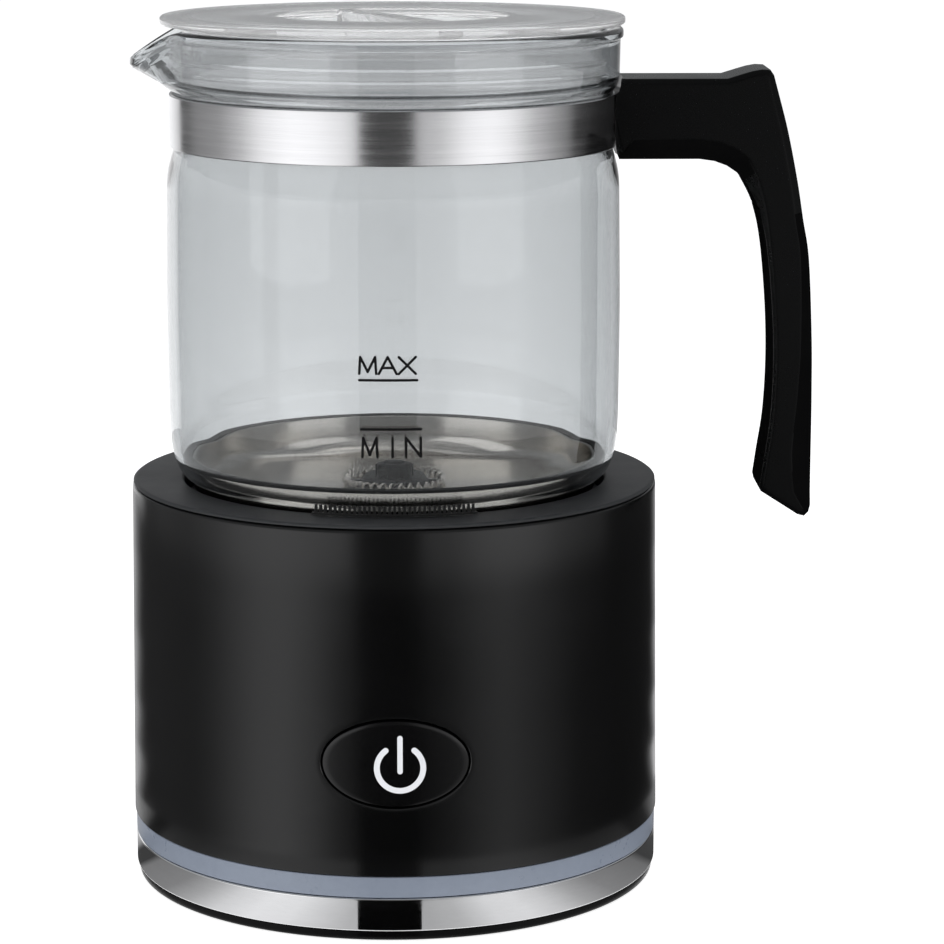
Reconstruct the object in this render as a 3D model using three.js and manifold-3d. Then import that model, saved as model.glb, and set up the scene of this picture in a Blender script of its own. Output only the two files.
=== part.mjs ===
// A glass milk frother jug standing on a round induction base, in millimetres, +Z up.
// The origin is the centre of the base's flat underside. The power button faces -Y,
// the spout points to -X and the handle to +X.
import * as THREE from 'three';
import { mergeVertices } from 'three/addons/utils/BufferGeometryUtils.js';
import Module from 'manifold-3d';

const wasm = await Module();
wasm.setup();

// ---------------------------------------------------------------- driving dimensions
const GAP = 0.3; // between pieces that slide, turn or lie next to each other
const RING_SIDES = 48; // facets round the large visible rings
const CORE_SIDES = 24; // facets round the hidden round pieces
const SMALL_SIDES = 8; // facets round screws, pins and feet

const BASE = {
  bottomRadius: 65.35, // the housing has a slight moulding draft
  topRadius: 64.5,
  wall: 2.4,
  plateRadius: 64.4,
  ringRadius: 65.0, // light ring and chrome ring
  plateTop: 2.2,
  chromeTop: 10.5,
  lightTop: 15.9,
  rim: 98.3, // top rim of the housing, under the deck
  deckTop: 99.4,
  seatRadius: 51.9, // recess that takes the jug's steel cup
  seatFloor: 94.7,
};
const BUTTON = { z: 43.05, halfWidth: 17.2, halfHeight: 10.4, travel: 1.0, gap: 0.4 };
const BUTTON_FIT = { sunk: 0.28, skin: 2.6, wall: 1.6, skirtBack: -56, skirtFront: -60.9, lip: 1.4, lipFront: -57.2 };
const GUIDE = { front: -54.6, back: -50, halfWidth: 23, halfHeight: 15, lap: 2 };
const ICON = { x: 1.0, z: 42.1, radius: 6.2, stroke: 1.6, opening: 35, barTop: 50.0, barFoot: 40.6 };
const CUP = { radius: 49.6, wall: 0.9, rim: 105.3, floor: 97.0, bottom: 95.0 };
const GLASS = { foot: 99.9, sealRadius: 51.9, neckRadius: 53.2, neckFoot: 180.6, neckTop: 193.7, rim: 209.3 };
const BAND = { radius: 54.15, foot: 180.8, top: 193.5 };
const SPOUT = { halfAngle: 26, reach: 8.3, drop: 6.2, foot: 194.0 };
const LID = { radius: 56.2, top: 212.1, plate: 2.0, plugRadius: 50.6, plugFoot: 196.8, recess: 28.2 };
const HANDLE = { halfWidth: 10, armFoot: 177.7, armTop: 197.2, rootX: 51.0, tip: 89.9, linerThick: 1.5 };
const WHISK = { z: 97.6, hubRadius: 4.3, hubTop: 102.4, capRadius: 2.7, capTop: 103.1, coilRadius: 12 };
const COIL = { inner: 18, outer: 45, foot: 88.4, top: 91.6 };
const SEAT = { under: 92.8, ledge: 91.6, ledgeRadius: 46.5, plateRadius: 51.5 };
const CARRIER = { inner: 59.4, outer: 61.2, foot: 3.3, top: 12.6 }; // ring inside the chrome and light rings
const CORD = { z: 27, bore: 3.6, hole: 6.4 }; // bushing of the mains lead, at the back
const MOTOR = { radius: 14, foot: 48, top: 74 };
const SCREW_ANGLES = [45, 135, 225, 315];
const SCREW_CIRCLE = 55.0;
const FOOT_ANGLES = [0, 90, 180, 270];
const FOOT_CIRCLE = 50;

// ---------------------------------------------------------------- materials
function material(color, roughness, metalness = 0, opacity = 1) {
  const transparent = opacity < 1;
  return new THREE.MeshStandardMaterial({ color, roughness, metalness, opacity, transparent });
}
const SATIN_BLACK = material(0x17181a, 0.42);
const DECK_GREY = material(0x3b3d40, 0.7);
const GLOSS_BLACK = material(0x0b0b0c, 0.15);
const INNER_BLACK = material(0x1f1f20, 0.6);
const RUBBER = material(0x101010, 0.9);
const CHROME = material(0xe6e6e8, 0.08, 1);
const STEEL = material(0xb9b6b0, 0.2, 1);
const BRUSHED = material(0xa9a9aa, 0.32, 1);
const CLEAR_GLASS = material(0xdfe6e8, 0.03, 0, 0.3);
const CLEAR_PLASTIC = material(0xe4e6e6, 0.08, 0, 0.4);
const LIGHT_DIFFUSER = material(0xa9b2c0, 0.25, 0, 0.8);
const WHITE = material(0xf6f6f6, 0.4);
const COPPER = material(0xb5652f, 0.35, 1);
const BOARD = material(0x1f5a36, 0.5);
const FERRITE = material(0x3a3a3c, 0.7);
const ALUMINIUM = material(0xc4c6c8, 0.4, 1);

// ---------------------------------------------------------------- geometry helpers
const radians = THREE.MathUtils.degToRad;

// A closed solid of revolution about Z from [radius, height] points. The outline ends on
// the axis at both ends, or is closed back to its first point here.
function turned(points, sides) {
  const onAxis = points[0][0] === 0 && points.at(-1)[0] === 0;
  const outline = onAxis ? points : [...points, points[0]];
  const profile = outline.map(([radius, height]) => new THREE.Vector2(radius, height));
  return facingOut(new THREE.LatheGeometry(profile, sides).rotateX(Math.PI / 2));
}

function ring(inner, outer, foot, top, sides = CORE_SIDES) {
  return turned([[inner, foot], [outer, foot], [outer, top], [inner, top]], sides);
}

function disc(radius, foot, top, sides = SMALL_SIDES, x = 0, y = 0) {
  return turned([[0, foot], [radius, foot], [radius, top], [0, top]], sides).translate(x, y, 0);
}

function block(x, y, z) {
  const [width, depth, height] = [x[1] - x[0], y[1] - y[0], z[1] - z[0]];
  const box = new THREE.BoxGeometry(width, depth, height);
  return box.translate((x[0] + x[1]) / 2, (y[0] + y[1]) / 2, (z[0] + z[1]) / 2);
}

// A prism of an X-Z outline that runs from y0 to y1, with an optional edge bevel.
function sidePrism(shape, y0, y1, bevel = 0, curveSegments = 10) {
  const options = {
    depth: y1 - y0 - 2 * bevel,
    bevelEnabled: bevel > 0,
    bevelThickness: bevel,
    bevelSize: bevel,
    bevelOffset: -bevel,
    bevelSegments: 2,
    curveSegments,
  };
  const prism = new THREE.ExtrudeGeometry(shape, options);
  return prism.rotateX(Math.PI / 2).translate(0, y1 - bevel, 0);
}

// The same outline with no two points closer together than the spacing.
function thinned(shape, spacing) {
  const kept = [];
  for (const point of shape.getPoints(6)) {
    if (kept.every((other) => other.distanceTo(point) >= spacing)) kept.push(point);
  }
  return new THREE.Shape(kept);
}

// Turns the faces round if the solid is inside out.
function facingOut(geometry) {
  const flat = geometry.index ? geometry.toNonIndexed() : geometry;
  const p = flat.getAttribute('position');
  const [a, b, c] = [new THREE.Vector3(), new THREE.Vector3(), new THREE.Vector3()];
  let volume = 0;
  for (let i = 0; i < p.count; i += 3) {
    a.fromBufferAttribute(p, i);
    b.fromBufferAttribute(p, i + 1);
    c.fromBufferAttribute(p, i + 2);
    volume += a.dot(b.cross(c));
  }
  if (volume >= 0) return flat;
  for (let i = 0; i < p.count; i += 3) {
    a.fromBufferAttribute(p, i + 1);
    b.fromBufferAttribute(p, i + 2);
    p.setXYZ(i + 1, b.x, b.y, b.z);
    p.setXYZ(i + 2, a.x, a.y, a.z);
  }
  return flat;
}

function toManifold(geometry) {
  const bare = geometry.clone();
  bare.deleteAttribute('normal');
  bare.deleteAttribute('uv');
  const merged = mergeVertices(bare, 1e-3);
  const vertProperties = merged.getAttribute('position').array;
  const triVerts = new Uint32Array(merged.index.array);
  return new wasm.Manifold(new wasm.Mesh({ numProp: 3, vertProperties, triVerts }));
}

function fromManifold(solid) {
  const mesh = solid.getMesh();
  const geometry = new THREE.BufferGeometry();
  geometry.setAttribute('position', new THREE.BufferAttribute(mesh.vertProperties, 3));
  geometry.setIndex(new THREE.BufferAttribute(mesh.triVerts, 1));
  return geometry.toNonIndexed();
}

function cut(body, ...tools) {
  return fromManifold(tools.reduce((rest, tool) => rest.subtract(toManifold(tool)), toManifold(body)));
}

function join(body, ...others) {
  return fromManifold(others.reduce((sum, other) => sum.add(toManifold(other)), toManifold(body)));
}

function common(a, b) {
  return fromManifold(toManifold(a).intersect(toManifold(b)));
}

function piece(group, name, geometry, finish) {
  geometry.computeVertexNormals();
  const mesh = new THREE.Mesh(geometry, finish);
  mesh.name = name;
  group.add(mesh);
  return mesh;
}

function onCircle(radius, degrees) {
  return [radius * Math.cos(radians(degrees)), radius * Math.sin(radians(degrees))];
}

function ellipse(halfWidth, halfHeight, z) {
  return new THREE.Shape().absellipse(0, z, halfWidth, halfHeight, 0, 2 * Math.PI, false, 0);
}

// ---------------------------------------------------------------- base: shells and trim
function baseHousing() {
  const { bottomRadius, topRadius, wall, lightTop, rim } = BASE;
  const shell = turned([
    [bottomRadius, lightTop],
    [topRadius, rim - 0.7],
    [topRadius - 0.4, rim],
    [topRadius - wall, rim],
    [bottomRadius - wall, lightTop],
  ], RING_SIDES);
  const bosses = SCREW_ANGLES.map((angle) => {
    const [x, y] = onCircle(SCREW_CIRCLE, angle);
    return disc(3.8, lightTop, 40, SMALL_SIDES, x, y);
  });
  const ribs = SCREW_ANGLES.map((angle) => {
    const rib = block([SCREW_CIRCLE, bottomRadius - wall + 0.4], [-1, 1], [lightTop, 40]);
    return rib.rotateZ(radians(angle));
  });
  const screwHoles = SCREW_ANGLES.map((angle) => {
    const [x, y] = onCircle(SCREW_CIRCLE, angle);
    return disc(1.8, lightTop - 1, 33, SMALL_SIDES, x, y);
  });
  const buttonHole = sidePrism(
    ellipse(BUTTON.halfWidth + BUTTON.gap, BUTTON.halfHeight + BUTTON.gap, BUTTON.z), -72, -50, 0, 12);
  const cordHole = disc(CORD.hole, 55, 72, 16).rotateX(-Math.PI / 2).translate(0, 0, CORD.z);
  return cut(join(shell, ...bosses, ...ribs), ...screwHoles, buttonHole, cordHole);
}

function cordInlet() {
  const inner = BASE.bottomRadius - BASE.wall;
  const bushing = ring(CORD.bore, CORD.hole - 0.4, inner - 7, BASE.bottomRadius - 0.2, 16);
  const flange = ring(CORD.bore, CORD.hole + 1.8, inner - 3.4, inner - 2.0, 16);
  return join(bushing, flange).rotateX(-Math.PI / 2).translate(0, 0, CORD.z);
}

function topDeck() {
  const { deckTop, rim, seatRadius, topRadius } = BASE;
  return turned([
    [seatRadius, rim + GAP],
    [topRadius - 0.3, rim + GAP],
    [topRadius - 0.2, deckTop - 0.45],
    [topRadius - 0.8, deckTop],
    [seatRadius + 0.5, deckTop],
    [seatRadius, deckTop - 0.4],
  ], RING_SIDES);
}

// Frame of the seat: a wall round the jug's cup, a flange under the deck and a ledge for the plate.
function seatDish() {
  const { rim, seatRadius, topRadius, wall } = BASE;
  const flange = topRadius - wall - GAP;
  return turned([
    [SEAT.ledgeRadius, SEAT.ledge],
    [seatRadius + 2.0, SEAT.ledge],
    [seatRadius + 2.0, rim - 2.0],
    [flange, rim - 2.0],
    [flange, rim],
    [seatRadius, rim],
    [seatRadius, SEAT.under - 0.05],
    [SEAT.ledgeRadius, SEAT.under - 0.05],
  ], RING_SIDES);
}

function seatPlate() {
  return turned([
    [0, SEAT.under],
    [SEAT.plateRadius, SEAT.under],
    [SEAT.plateRadius, BASE.seatFloor - 0.5],
    [SEAT.plateRadius - 0.5, BASE.seatFloor],
    [0, BASE.seatFloor],
  ], RING_SIDES);
}

const COMB = { teeth: 33, halfAngle: 19.5, radius: 54.6, foot: 99.7, height: 2.4 };
function ventComb() {
  const { teeth, halfAngle, radius, foot, height } = COMB;
  const strip = new THREE.Shape();
  const [start, end] = [radians(-90 - halfAngle - 1), radians(-90 + halfAngle + 1)];
  strip.absarc(0, 0, radius + 0.7, start, end, false);
  strip.absarc(0, 0, radius - 0.3, end, start, true);
  const rail = new THREE.ExtrudeGeometry(strip, { depth: 0.5, bevelEnabled: false, curveSegments: 12 });
  const tooth = [];
  for (let i = 0; i < teeth; i += 1) {
    const angle = -halfAngle + (2 * halfAngle * i) / (teeth - 1);
    const bar = block([-0.38, 0.38], [-radius - 0.5, -radius + 0.1], [0.2, height]);
    tooth.push(bar.rotateZ(radians(angle)));
  }
  return join(rail, ...tooth).translate(0, 0, foot);
}

function lightRing() {
  const { ringRadius, chromeTop, lightTop } = BASE;
  return ring(ringRadius - 3.2, ringRadius, chromeTop + 0.1, lightTop - 0.2, RING_SIDES);
}

function chromeRing() {
  const { ringRadius, chromeTop, plateTop } = BASE;
  return turned([
    [ringRadius - 3.4, plateTop + 0.1],
    [ringRadius - 0.35, plateTop + 0.1],
    [ringRadius, plateTop + 0.6],
    [ringRadius, chromeTop - 0.4],
    [ringRadius - 0.25, chromeTop - 0.1],
    [ringRadius - 3.4, chromeTop - 0.1],
  ], RING_SIDES);
}

function ringCarrier() {
  return ring(CARRIER.inner, CARRIER.outer, CARRIER.foot, CARRIER.top, RING_SIDES);
}

function bottomPlate() {
  const { plateRadius, plateTop } = BASE;
  const plate = turned([
    [0, 0],
    [plateRadius - 0.5, 0],
    [plateRadius, 0.4],
    [plateRadius, plateTop],
    [CARRIER.outer, plateTop],
    [CARRIER.outer - 0.2, 3.2],
    [0, 3.2],
  ], RING_SIDES);
  const posts = SCREW_ANGLES.map((angle) => {
    const [x, y] = onCircle(SCREW_CIRCLE, angle);
    return disc(3.6, 3, 15.6, SMALL_SIDES, x, y);
  });
  const bores = SCREW_ANGLES.flatMap((angle) => {
    const [x, y] = onCircle(SCREW_CIRCLE, angle);
    return [disc(1.8, -1, 17, SMALL_SIDES, x, y), disc(3.0, -1, 2.4, SMALL_SIDES, x, y)];
  });
  const pockets = FOOT_ANGLES.map((angle) => {
    const [x, y] = onCircle(FOOT_CIRCLE, angle);
    return disc(7.3, -1, 1.6, SMALL_SIDES * 2, x, y);
  });
  return cut(join(plate, ...posts), ...bores, ...pockets);
}

function rubberFoot(angle) {
  const [x, y] = onCircle(FOOT_CIRCLE, angle);
  return disc(7.0, 0, 1.5, SMALL_SIDES * 2, x, y);
}

function baseScrew(angle) {
  const [x, y] = onCircle(SCREW_CIRCLE, angle);
  const profile = [[0, 0.5], [2.7, 0.5], [2.7, 2.2], [1.5, 2.2], [1.5, 29], [0, 30]];
  return turned(profile, SMALL_SIDES).translate(x, y, 0);
}

// ---------------------------------------------------------------- base: button
// The face is the part of the housing's own curved wall inside the oval.
function buttonBlank(inset) {
  const outer = BASE.bottomRadius - BUTTON_FIT.sunk;
  const shell = ring(outer - BUTTON_FIT.skin, outer, 25, 62, RING_SIDES);
  const oval = ellipse(BUTTON.halfWidth - inset, BUTTON.halfHeight - inset, BUTTON.z);
  return common(shell, sidePrism(oval, -72, -50, 0, 12));
}

// Flat outline of the power symbol's open ring, in X and Z, grown by a margin.
function iconArc(margin) {
  const { x, z, radius, stroke, opening } = ICON;
  const ends = opening - 8 * margin;
  const [start, end] = [radians(90 + ends), radians(450 - ends)];
  const shape = new THREE.Shape();
  shape.absarc(x, z, radius + margin, start, end, false);
  shape.absarc(x, z, radius - stroke - margin, end, start, true);
  return shape;
}

function iconBar(margin, y) {
  const half = ICON.stroke / 2 + margin;
  return block([ICON.x - half, ICON.x + half], y, [ICON.barFoot - margin, ICON.barTop + margin]);
}

// An oval bar of the button's outline, grown by a margin, that runs from y0 to y1.
function ovalBar(margin, y0, y1) {
  const oval = ellipse(BUTTON.halfWidth + margin, BUTTON.halfHeight + margin, BUTTON.z);
  return sidePrism(oval, y0, y1, 0, 12);
}

function powerButton() {
  const { wall, skirtBack, skirtFront, lip, lipFront } = BUTTON_FIT;
  const skirt = ovalBar(0, skirtFront, skirtBack);
  const hollow = ovalBar(-wall, skirtFront - 1.3, skirtBack + 1);
  const flange = ovalBar(lip, lipFront, skirtBack);
  const face = common(buttonBlank(0), ovalBar(1, -72, skirtFront + 0.7));
  const slots = [sidePrism(iconArc(0.15), -72, -50, 0, 8), iconBar(0.15, [-72, -50])];
  return cut(join(face, cut(join(skirt, flange), hollow), skirtLink()), ...slots);
}

// Short oval wall that ties the curved face to the flat skirt behind it.
function skirtLink() {
  const link = cut(ovalBar(0, -64.6, -58), ovalBar(-BUTTON_FIT.wall, -66, -57));
  return common(link, ring(50, BASE.bottomRadius - BASE.wall - GAP, 25, 62, RING_SIDES));
}

function iconLightGuide() {
  const plate = sidePrism(ellipse(10.6, 8.2, BUTTON.z), -61.2, -60.0, 0, 8);
  const symbol = [sidePrism(iconArc(0), -72, -60.6, 0, 8), iconBar(0, [-72, -60.6])];
  const face = ring(40, BASE.bottomRadius - 0.26, 20, 66, RING_SIDES);
  return common(join(plate, ...symbol), face);
}

function switchPlunger() {
  return disc(1.5, 0, 5.0, SMALL_SIDES).rotateX(-Math.PI / 2).translate(0, -59.8, BUTTON.z);
}

function tactSwitch() {
  const body = block([-4, 4], [-55.6, -50], [BUTTON.z - 4, BUTTON.z + 4]);
  const bore = disc(1.9, -56.5, -52.6, SMALL_SIDES).rotateX(-Math.PI / 2).translate(0, 0, BUTTON.z);
  return cut(body, bore);
}

function switchBoard() {
  return block([-24, 24], [-49.7, -48.1], [BUTTON.z - 14, BUTTON.z + 14]);
}

function buttonGuide() {
  const { front, back, halfWidth, halfHeight, lap } = GUIDE;
  const height = [BUTTON.z - halfHeight, BUTTON.z + halfHeight];
  const frame = block([-halfWidth, halfWidth], [front, back], height);
  return cut(frame, ovalBar(-lap, front - 5, back + 5));
}

// ---------------------------------------------------------------- base: works
function ledRingBoard() {
  const board = ring(47.0, 59.0, 13.2, 14.4);
  const angles = [15, 75, 105, 165, 195, 255, 285, 345]; // clear of the screw bosses
  const lamps = angles.map((angle) => {
    return block([56.6, 60.2], [-1.6, 1.6], [14.0, 15.4]).rotateZ(radians(angle));
  });
  const clearances = SCREW_ANGLES.map((angle) => {
    const [x, y] = onCircle(SCREW_CIRCLE, angle);
    return disc(4.2, 12, 17, SMALL_SIDES, x, y);
  });
  return cut(join(board, ...lamps), ...clearances);
}

function controlBoard() {
  const board = block([-38, 34], [-30, 32], [20, 21.6]);
  const parts = [
    block([-36, -30], [-26, -10], [21.4, 27]),
    block([-6, 4], [20, 30], [21.4, 25]),
    block([16, 28], [-26, -16], [21.4, 30]),
    disc(5, 21.4, 38, SMALL_SIDES, -31, 6),
    disc(3, 21.4, 31, SMALL_SIDES, 20, 27),
  ];
  const corners = [[-34, 28], [30, 28], [-34, -26], [30, -26]];
  const legs = corners.map(([x, y]) => disc(2.2, 3.4, 20.2, SMALL_SIDES, x, y));
  return join(board, ...parts, ...legs);
}

function heatSink() {
  const plate = block([6, 30], [0, 20], [22, 24.6]);
  const fins = [];
  for (let x = 6; x < 30; x += 5) fins.push(block([x, x + 1.6], [0, 20], [24, 38]));
  return join(plate, ...fins);
}

function filterCapacitor() {
  return block([-27, -10], [16, 30], [22, 37]);
}

function chokeCoil() {
  return ring(5, 11, 22.2, 31, 20).translate(-16, -6, 0);
}

function driveMotor() {
  const { radius, foot, top } = MOTOR;
  return turned([[0, foot], [radius - 2, foot], [radius, foot + 2], [radius, top], [4, top],
    [4, top + 2.4], [1.9, top + 2.4], [1.9, top - 6], [0, top - 6]], CORE_SIDES);
}

function motorShaft() {
  return disc(1.4, MOTOR.top - 5.5, 84.4, SMALL_SIDES);
}

function motorBracket() {
  const plate = disc(30, MOTOR.top + 0.3, MOTOR.top + 2.1, CORE_SIDES);
  const columns = [45, 135, 225, 315].map((angle) => {
    const [x, y] = onCircle(27, angle);
    return disc(2.6, MOTOR.top + 1, COIL.foot - 2.9, SMALL_SIDES, x, y);
  });
  return cut(join(plate, ...columns), disc(4.6, 60, 82, CORE_SIDES));
}

function coilCarrier() {
  const tray = ring(14, 47, COIL.foot - 2.6, COIL.foot - 0.3);
  const studs = [30, 150, 270].map((angle) => {
    const [x, y] = onCircle(49, angle);
    return join(disc(2.4, COIL.foot - 2.6, SEAT.ledge - 0.2, SMALL_SIDES, x, y),
      block([44, 49], [-2, 2], [COIL.foot - 2.6, COIL.foot - 0.3]).rotateZ(radians(angle)));
  });
  return join(tray, ...studs);
}

// The winding's turns show as grooves in its top face.
function inductionCoil() {
  const turns = 6;
  const pitch = (COIL.outer - COIL.inner) / turns;
  const outline = [[COIL.inner, COIL.foot], [COIL.outer, COIL.foot]];
  for (let i = turns; i > 0; i -= 1) {
    const edge = COIL.inner + i * pitch;
    outline.push([edge, COIL.top - 0.6], [edge - pitch / 2, COIL.top]);
  }
  outline.push([COIL.inner, COIL.top - 0.6]);
  return turned(outline, CORE_SIDES);
}

function ferriteBar(angle) {
  const bar = block([17, 44], [-4, 4], [COIL.foot - 6.6, COIL.foot - 2.9]);
  return bar.rotateZ(radians(angle));
}

function temperatureSensor() {
  return disc(1.4, COIL.foot, 92.5, SMALL_SIDES, 0, 15.9);
}

function magnetCarrier() {
  const body = turned([[0, 85], [2.6, 85], [2.6, 83.2], [5, 83.2], [11, 86.4], [11, 91.8], [0, 91.8]], CORE_SIDES);
  const pockets = [-1, 1].map((side) => disc(3.3, 87.6, 93, SMALL_SIDES, side * 6.6, 0));
  return cut(body, ...pockets);
}

function driveMagnet(side) {
  return disc(3.0, 87.9, 91.8, SMALL_SIDES, side * 6.6, 0);
}

// ---------------------------------------------------------------- jug
function heaterCup() {
  const { radius, wall, rim, floor, bottom } = CUP;
  return turned([
    [0, bottom],
    [radius - 2.2, bottom],
    [radius - 0.8, bottom + 0.6],
    [radius - 0.2, bottom + 2.2],
    [radius, bottom + 4.4],
    [radius, rim],
    [radius - wall, rim],
    [radius - wall - 0.4, floor + 2],
    [radius - wall - 2.4, floor],
    [0, floor],
  ], RING_SIDES);
}

// Seal between the rim of the steel cup and the glass foot that reaches down round it.
function jugSeal() {
  return ring(CUP.radius + 0.05, GLASS.sealRadius - 0.05, CUP.rim - 0.55, CUP.rim + 0.15, RING_SIDES);
}

// Pulls the rim outwards and down into a pouring lip that points to -X.
function pullSpout(geometry) {
  const { halfAngle, reach, drop, foot } = SPOUT;
  const p = geometry.getAttribute('position');
  for (let i = 0; i < p.count; i += 1) {
    const [x, y, z] = [p.getX(i), p.getY(i), p.getZ(i)];
    const away = Math.abs(THREE.MathUtils.radToDeg(Math.atan2(y, -x)));
    if (z <= foot || away >= halfAngle) continue;
    const side = Math.cos((away / halfAngle) * (Math.PI / 2)) ** 2;
    const up = Math.min(1, (z - foot) / (GLASS.rim - foot));
    const radius = Math.hypot(x, y);
    const grow = (radius + reach * side * up ** 1.1) / radius;
    p.setXYZ(i, x * grow, y * grow, z - drop * side * up ** 1.5);
  }
  return geometry;
}

function jugGlass() {
  const { foot, sealRadius, neckRadius, neckFoot, neckTop, rim } = GLASS;
  const outer = [
    [CUP.radius + 0.4, foot],
    [51.6, foot + 0.3],
    [53.2, foot + 2.4],
    [54.3, foot + 5.6],
    [54.9, foot + 9.5],
    [55.2, foot + 15],
    [55.45, 142],
    [55.0, 174],
    [neckRadius, neckFoot],
    [neckRadius, neckTop],
    [54.9, neckTop + 2.4],
    [55.1, rim - 2.7],
    [55.8, rim - 2.2],
    [55.8, rim - 0.6],
    [55.2, rim],
  ];
  const inner = [
    [53.0, rim],
    [52.4, rim - 3],
    [52.4, 197],
    [50.9, neckTop - 1],
    [50.9, neckFoot + 1],
    [52.6, neckFoot - 6],
    [52.9, 142],
    [52.7, foot + 12],
    [52.3, foot + 7.5],
    [sealRadius, foot + 4.8],
    [51.0, foot + 2.4],
    [CUP.radius + 0.4, foot + 1.2],
  ];
  return pullSpout(turned([...outer, ...inner], RING_SIDES));
}

function steelBand() {
  return ring(GLASS.neckRadius + 0.15, BAND.radius, BAND.foot, BAND.top, RING_SIDES);
}

// Welded to the band and buried in the handle's arm, with a cross hole for each screw.
const BRACKET = { from: 54.4, to: 72, halfWidth: 3.4, foot: 184.4, top: 190.0 };
const HANDLE_SCREWS = [60.5, 67.5];
function bandBracket() {
  const { from, to, halfWidth, foot, top } = BRACKET;
  const tongue = block([from, to], [-halfWidth, halfWidth], [foot, top]);
  const holes = HANDLE_SCREWS.map((x) => disc(1.6, foot - 1, top + 1, SMALL_SIDES, x, 0));
  return cut(tongue, ...holes);
}

function handleScrew(x) {
  const profile = [[0, 179.2], [2.6, 179.2], [2.6, 181.2], [1.3, 181.2], [1.3, 194.0], [0, 194.6]];
  return turned(profile, SMALL_SIDES).translate(x, 0, 0);
}

// Points down the handle's inner (grip) side, from under the arm to the tip.
const GRIP_INNER = [[84.8, 172.6], [88.2, 166], [90.2, 158], [91.5, 147], [92.3, 135],
  [92.4, 124], [91.8, 113], [90.5, 104], [89.6, 97.6]];
// Points up the handle's outer side, from the tip to the thumb rise.
const GRIP_OUTER = [[102.3, 96], [102.3, 118.8], [102.0, 133.6], [100.9, 153.3], [99.3, 163],
  [97.7, 172.7], [95.3, 184.3], [93.0, 193]];

function splineTo(shape, points) {
  shape.splineThru(points.map(([x, z]) => new THREE.Vector2(x, z)));
}

function handleOutline() {
  const { rootX, armFoot, armTop, tip } = HANDLE;
  const shape = new THREE.Shape();
  shape.moveTo(rootX, armFoot);
  shape.lineTo(74, armFoot);
  shape.quadraticCurveTo(80.8, armFoot, ...GRIP_INNER[0]);
  splineTo(shape, GRIP_INNER.slice(1));
  shape.lineTo(89.9, 96.2);
  shape.lineTo(99.2, tip + 0.3);
  shape.quadraticCurveTo(102.3, tip - 0.6, 102.3, tip + 2.6);
  shape.lineTo(...GRIP_OUTER[0]);
  splineTo(shape, GRIP_OUTER.slice(1));
  shape.lineTo(91.6, 198);
  shape.quadraticCurveTo(91.0, armTop + 2.4, 88.6, armTop + 2.2);
  shape.quadraticCurveTo(84.4, armTop + 1.6, 80.4, armTop);
  shape.lineTo(rootX, armTop);
  shape.closePath();
  return shape;
}

// The cover strip lies in a shallow step of the grip's inner face.
function linerOutline(depth, margin) {
  const run = GRIP_INNER.slice(1, -1);
  const shape = new THREE.Shape();
  const [top, foot] = [run[0], run.at(-1)];
  shape.moveTo(top[0] - 1, top[1] + margin);
  shape.lineTo(top[0] + depth, top[1] + margin);
  splineTo(shape, run.slice(1, -1).map(([x, z]) => [x + depth, z]));
  shape.lineTo(foot[0] + depth, foot[1] - margin);
  shape.lineTo(foot[0] - 1, foot[1] - margin);
  splineTo(shape, run.slice(1, -1).reverse().map(([x, z]) => [x - 1, z]));
  shape.closePath();
  return shape;
}

function handleBlank() {
  return sidePrism(thinned(handleOutline(), 2.4), -HANDLE.halfWidth, HANDLE.halfWidth, 1.6);
}

function handleShell() {
  const { linerThick, halfWidth } = HANDLE;
  const { to, halfWidth: tongueHalf, foot, top } = BRACKET;
  const step = sidePrism(thinned(linerOutline(linerThick, GAP), 2.4), -halfWidth + 1.6, halfWidth - 1.6);
  const slot = block([50, to + GAP], [-tongueHalf - GAP, tongueHalf + GAP], [foot - GAP, top + GAP]);
  const bores = HANDLE_SCREWS.flatMap((x) => [
    disc(1.6, 175, 195.4, SMALL_SIDES, x, 0),
    disc(3.1, 175, 181.5, SMALL_SIDES, x, 0),
  ]);
  return cut(handleBlank(), step, slot, jugSide(), ...bores);
}

// Turned tool that hollows the arm's end to fit round the band and the glass on both sides of it.
function jugSide() {
  return turned([[0, 165], [55.4, 165], [55.4, 176], [54.6, 180], [54.45, 181], [54.45, 193.6],
    [55.2, 194.2], [55.6, 196], [55.6, 205], [0, 205]], RING_SIDES);
}

function handleLiner() {
  const { linerThick, halfWidth } = HANDLE;
  const strip = sidePrism(thinned(linerOutline(linerThick - GAP, 0), 2.4), -halfWidth + 1.9, halfWidth - 1.9);
  return common(strip, handleBlank());
}

function whiskPin() {
  return disc(1.2, CUP.floor + 0.05, 101.4, SMALL_SIDES);
}

// ---------------------------------------------------------------- whisk
function whiskHub() {
  const { z, hubRadius, hubTop, capRadius, capTop } = WHISK;
  const hub = turned([
    [0, z],
    [8.4, z],
    [8.4, z + 1.3],
    [hubRadius, z + 1.9],
    [hubRadius, hubTop - 0.4],
    [hubRadius - 0.4, hubTop],
    [capRadius, hubTop],
    [capRadius - 0.4, capTop],
    [0, capTop],
  ], CORE_SIDES);
  const arms = [0, 90].map((angle) => {
    const arm = block([-WHISK.coilRadius + 0.3, WHISK.coilRadius - 0.3], [-1, 1], [z + 0.2, z + 1.1]);
    return arm.rotateZ(radians(angle));
  });
  const bore = disc(1.5, z - 1, 101.8, SMALL_SIDES);
  return cut(join(hub, ...arms), bore);
}

function whiskCoil() {
  const torus = new THREE.TorusGeometry(WHISK.coilRadius, 1.1, 6, CORE_SIDES);
  const slots = [0, 90].map((angle) => {
    const slot = block([-WHISK.coilRadius, WHISK.coilRadius], [-1.2, 1.2], [-1.0, 0.5]);
    return slot.rotateZ(radians(angle));
  });
  return cut(torus, ...slots).translate(0, 0, WHISK.z + 0.9);
}

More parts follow.
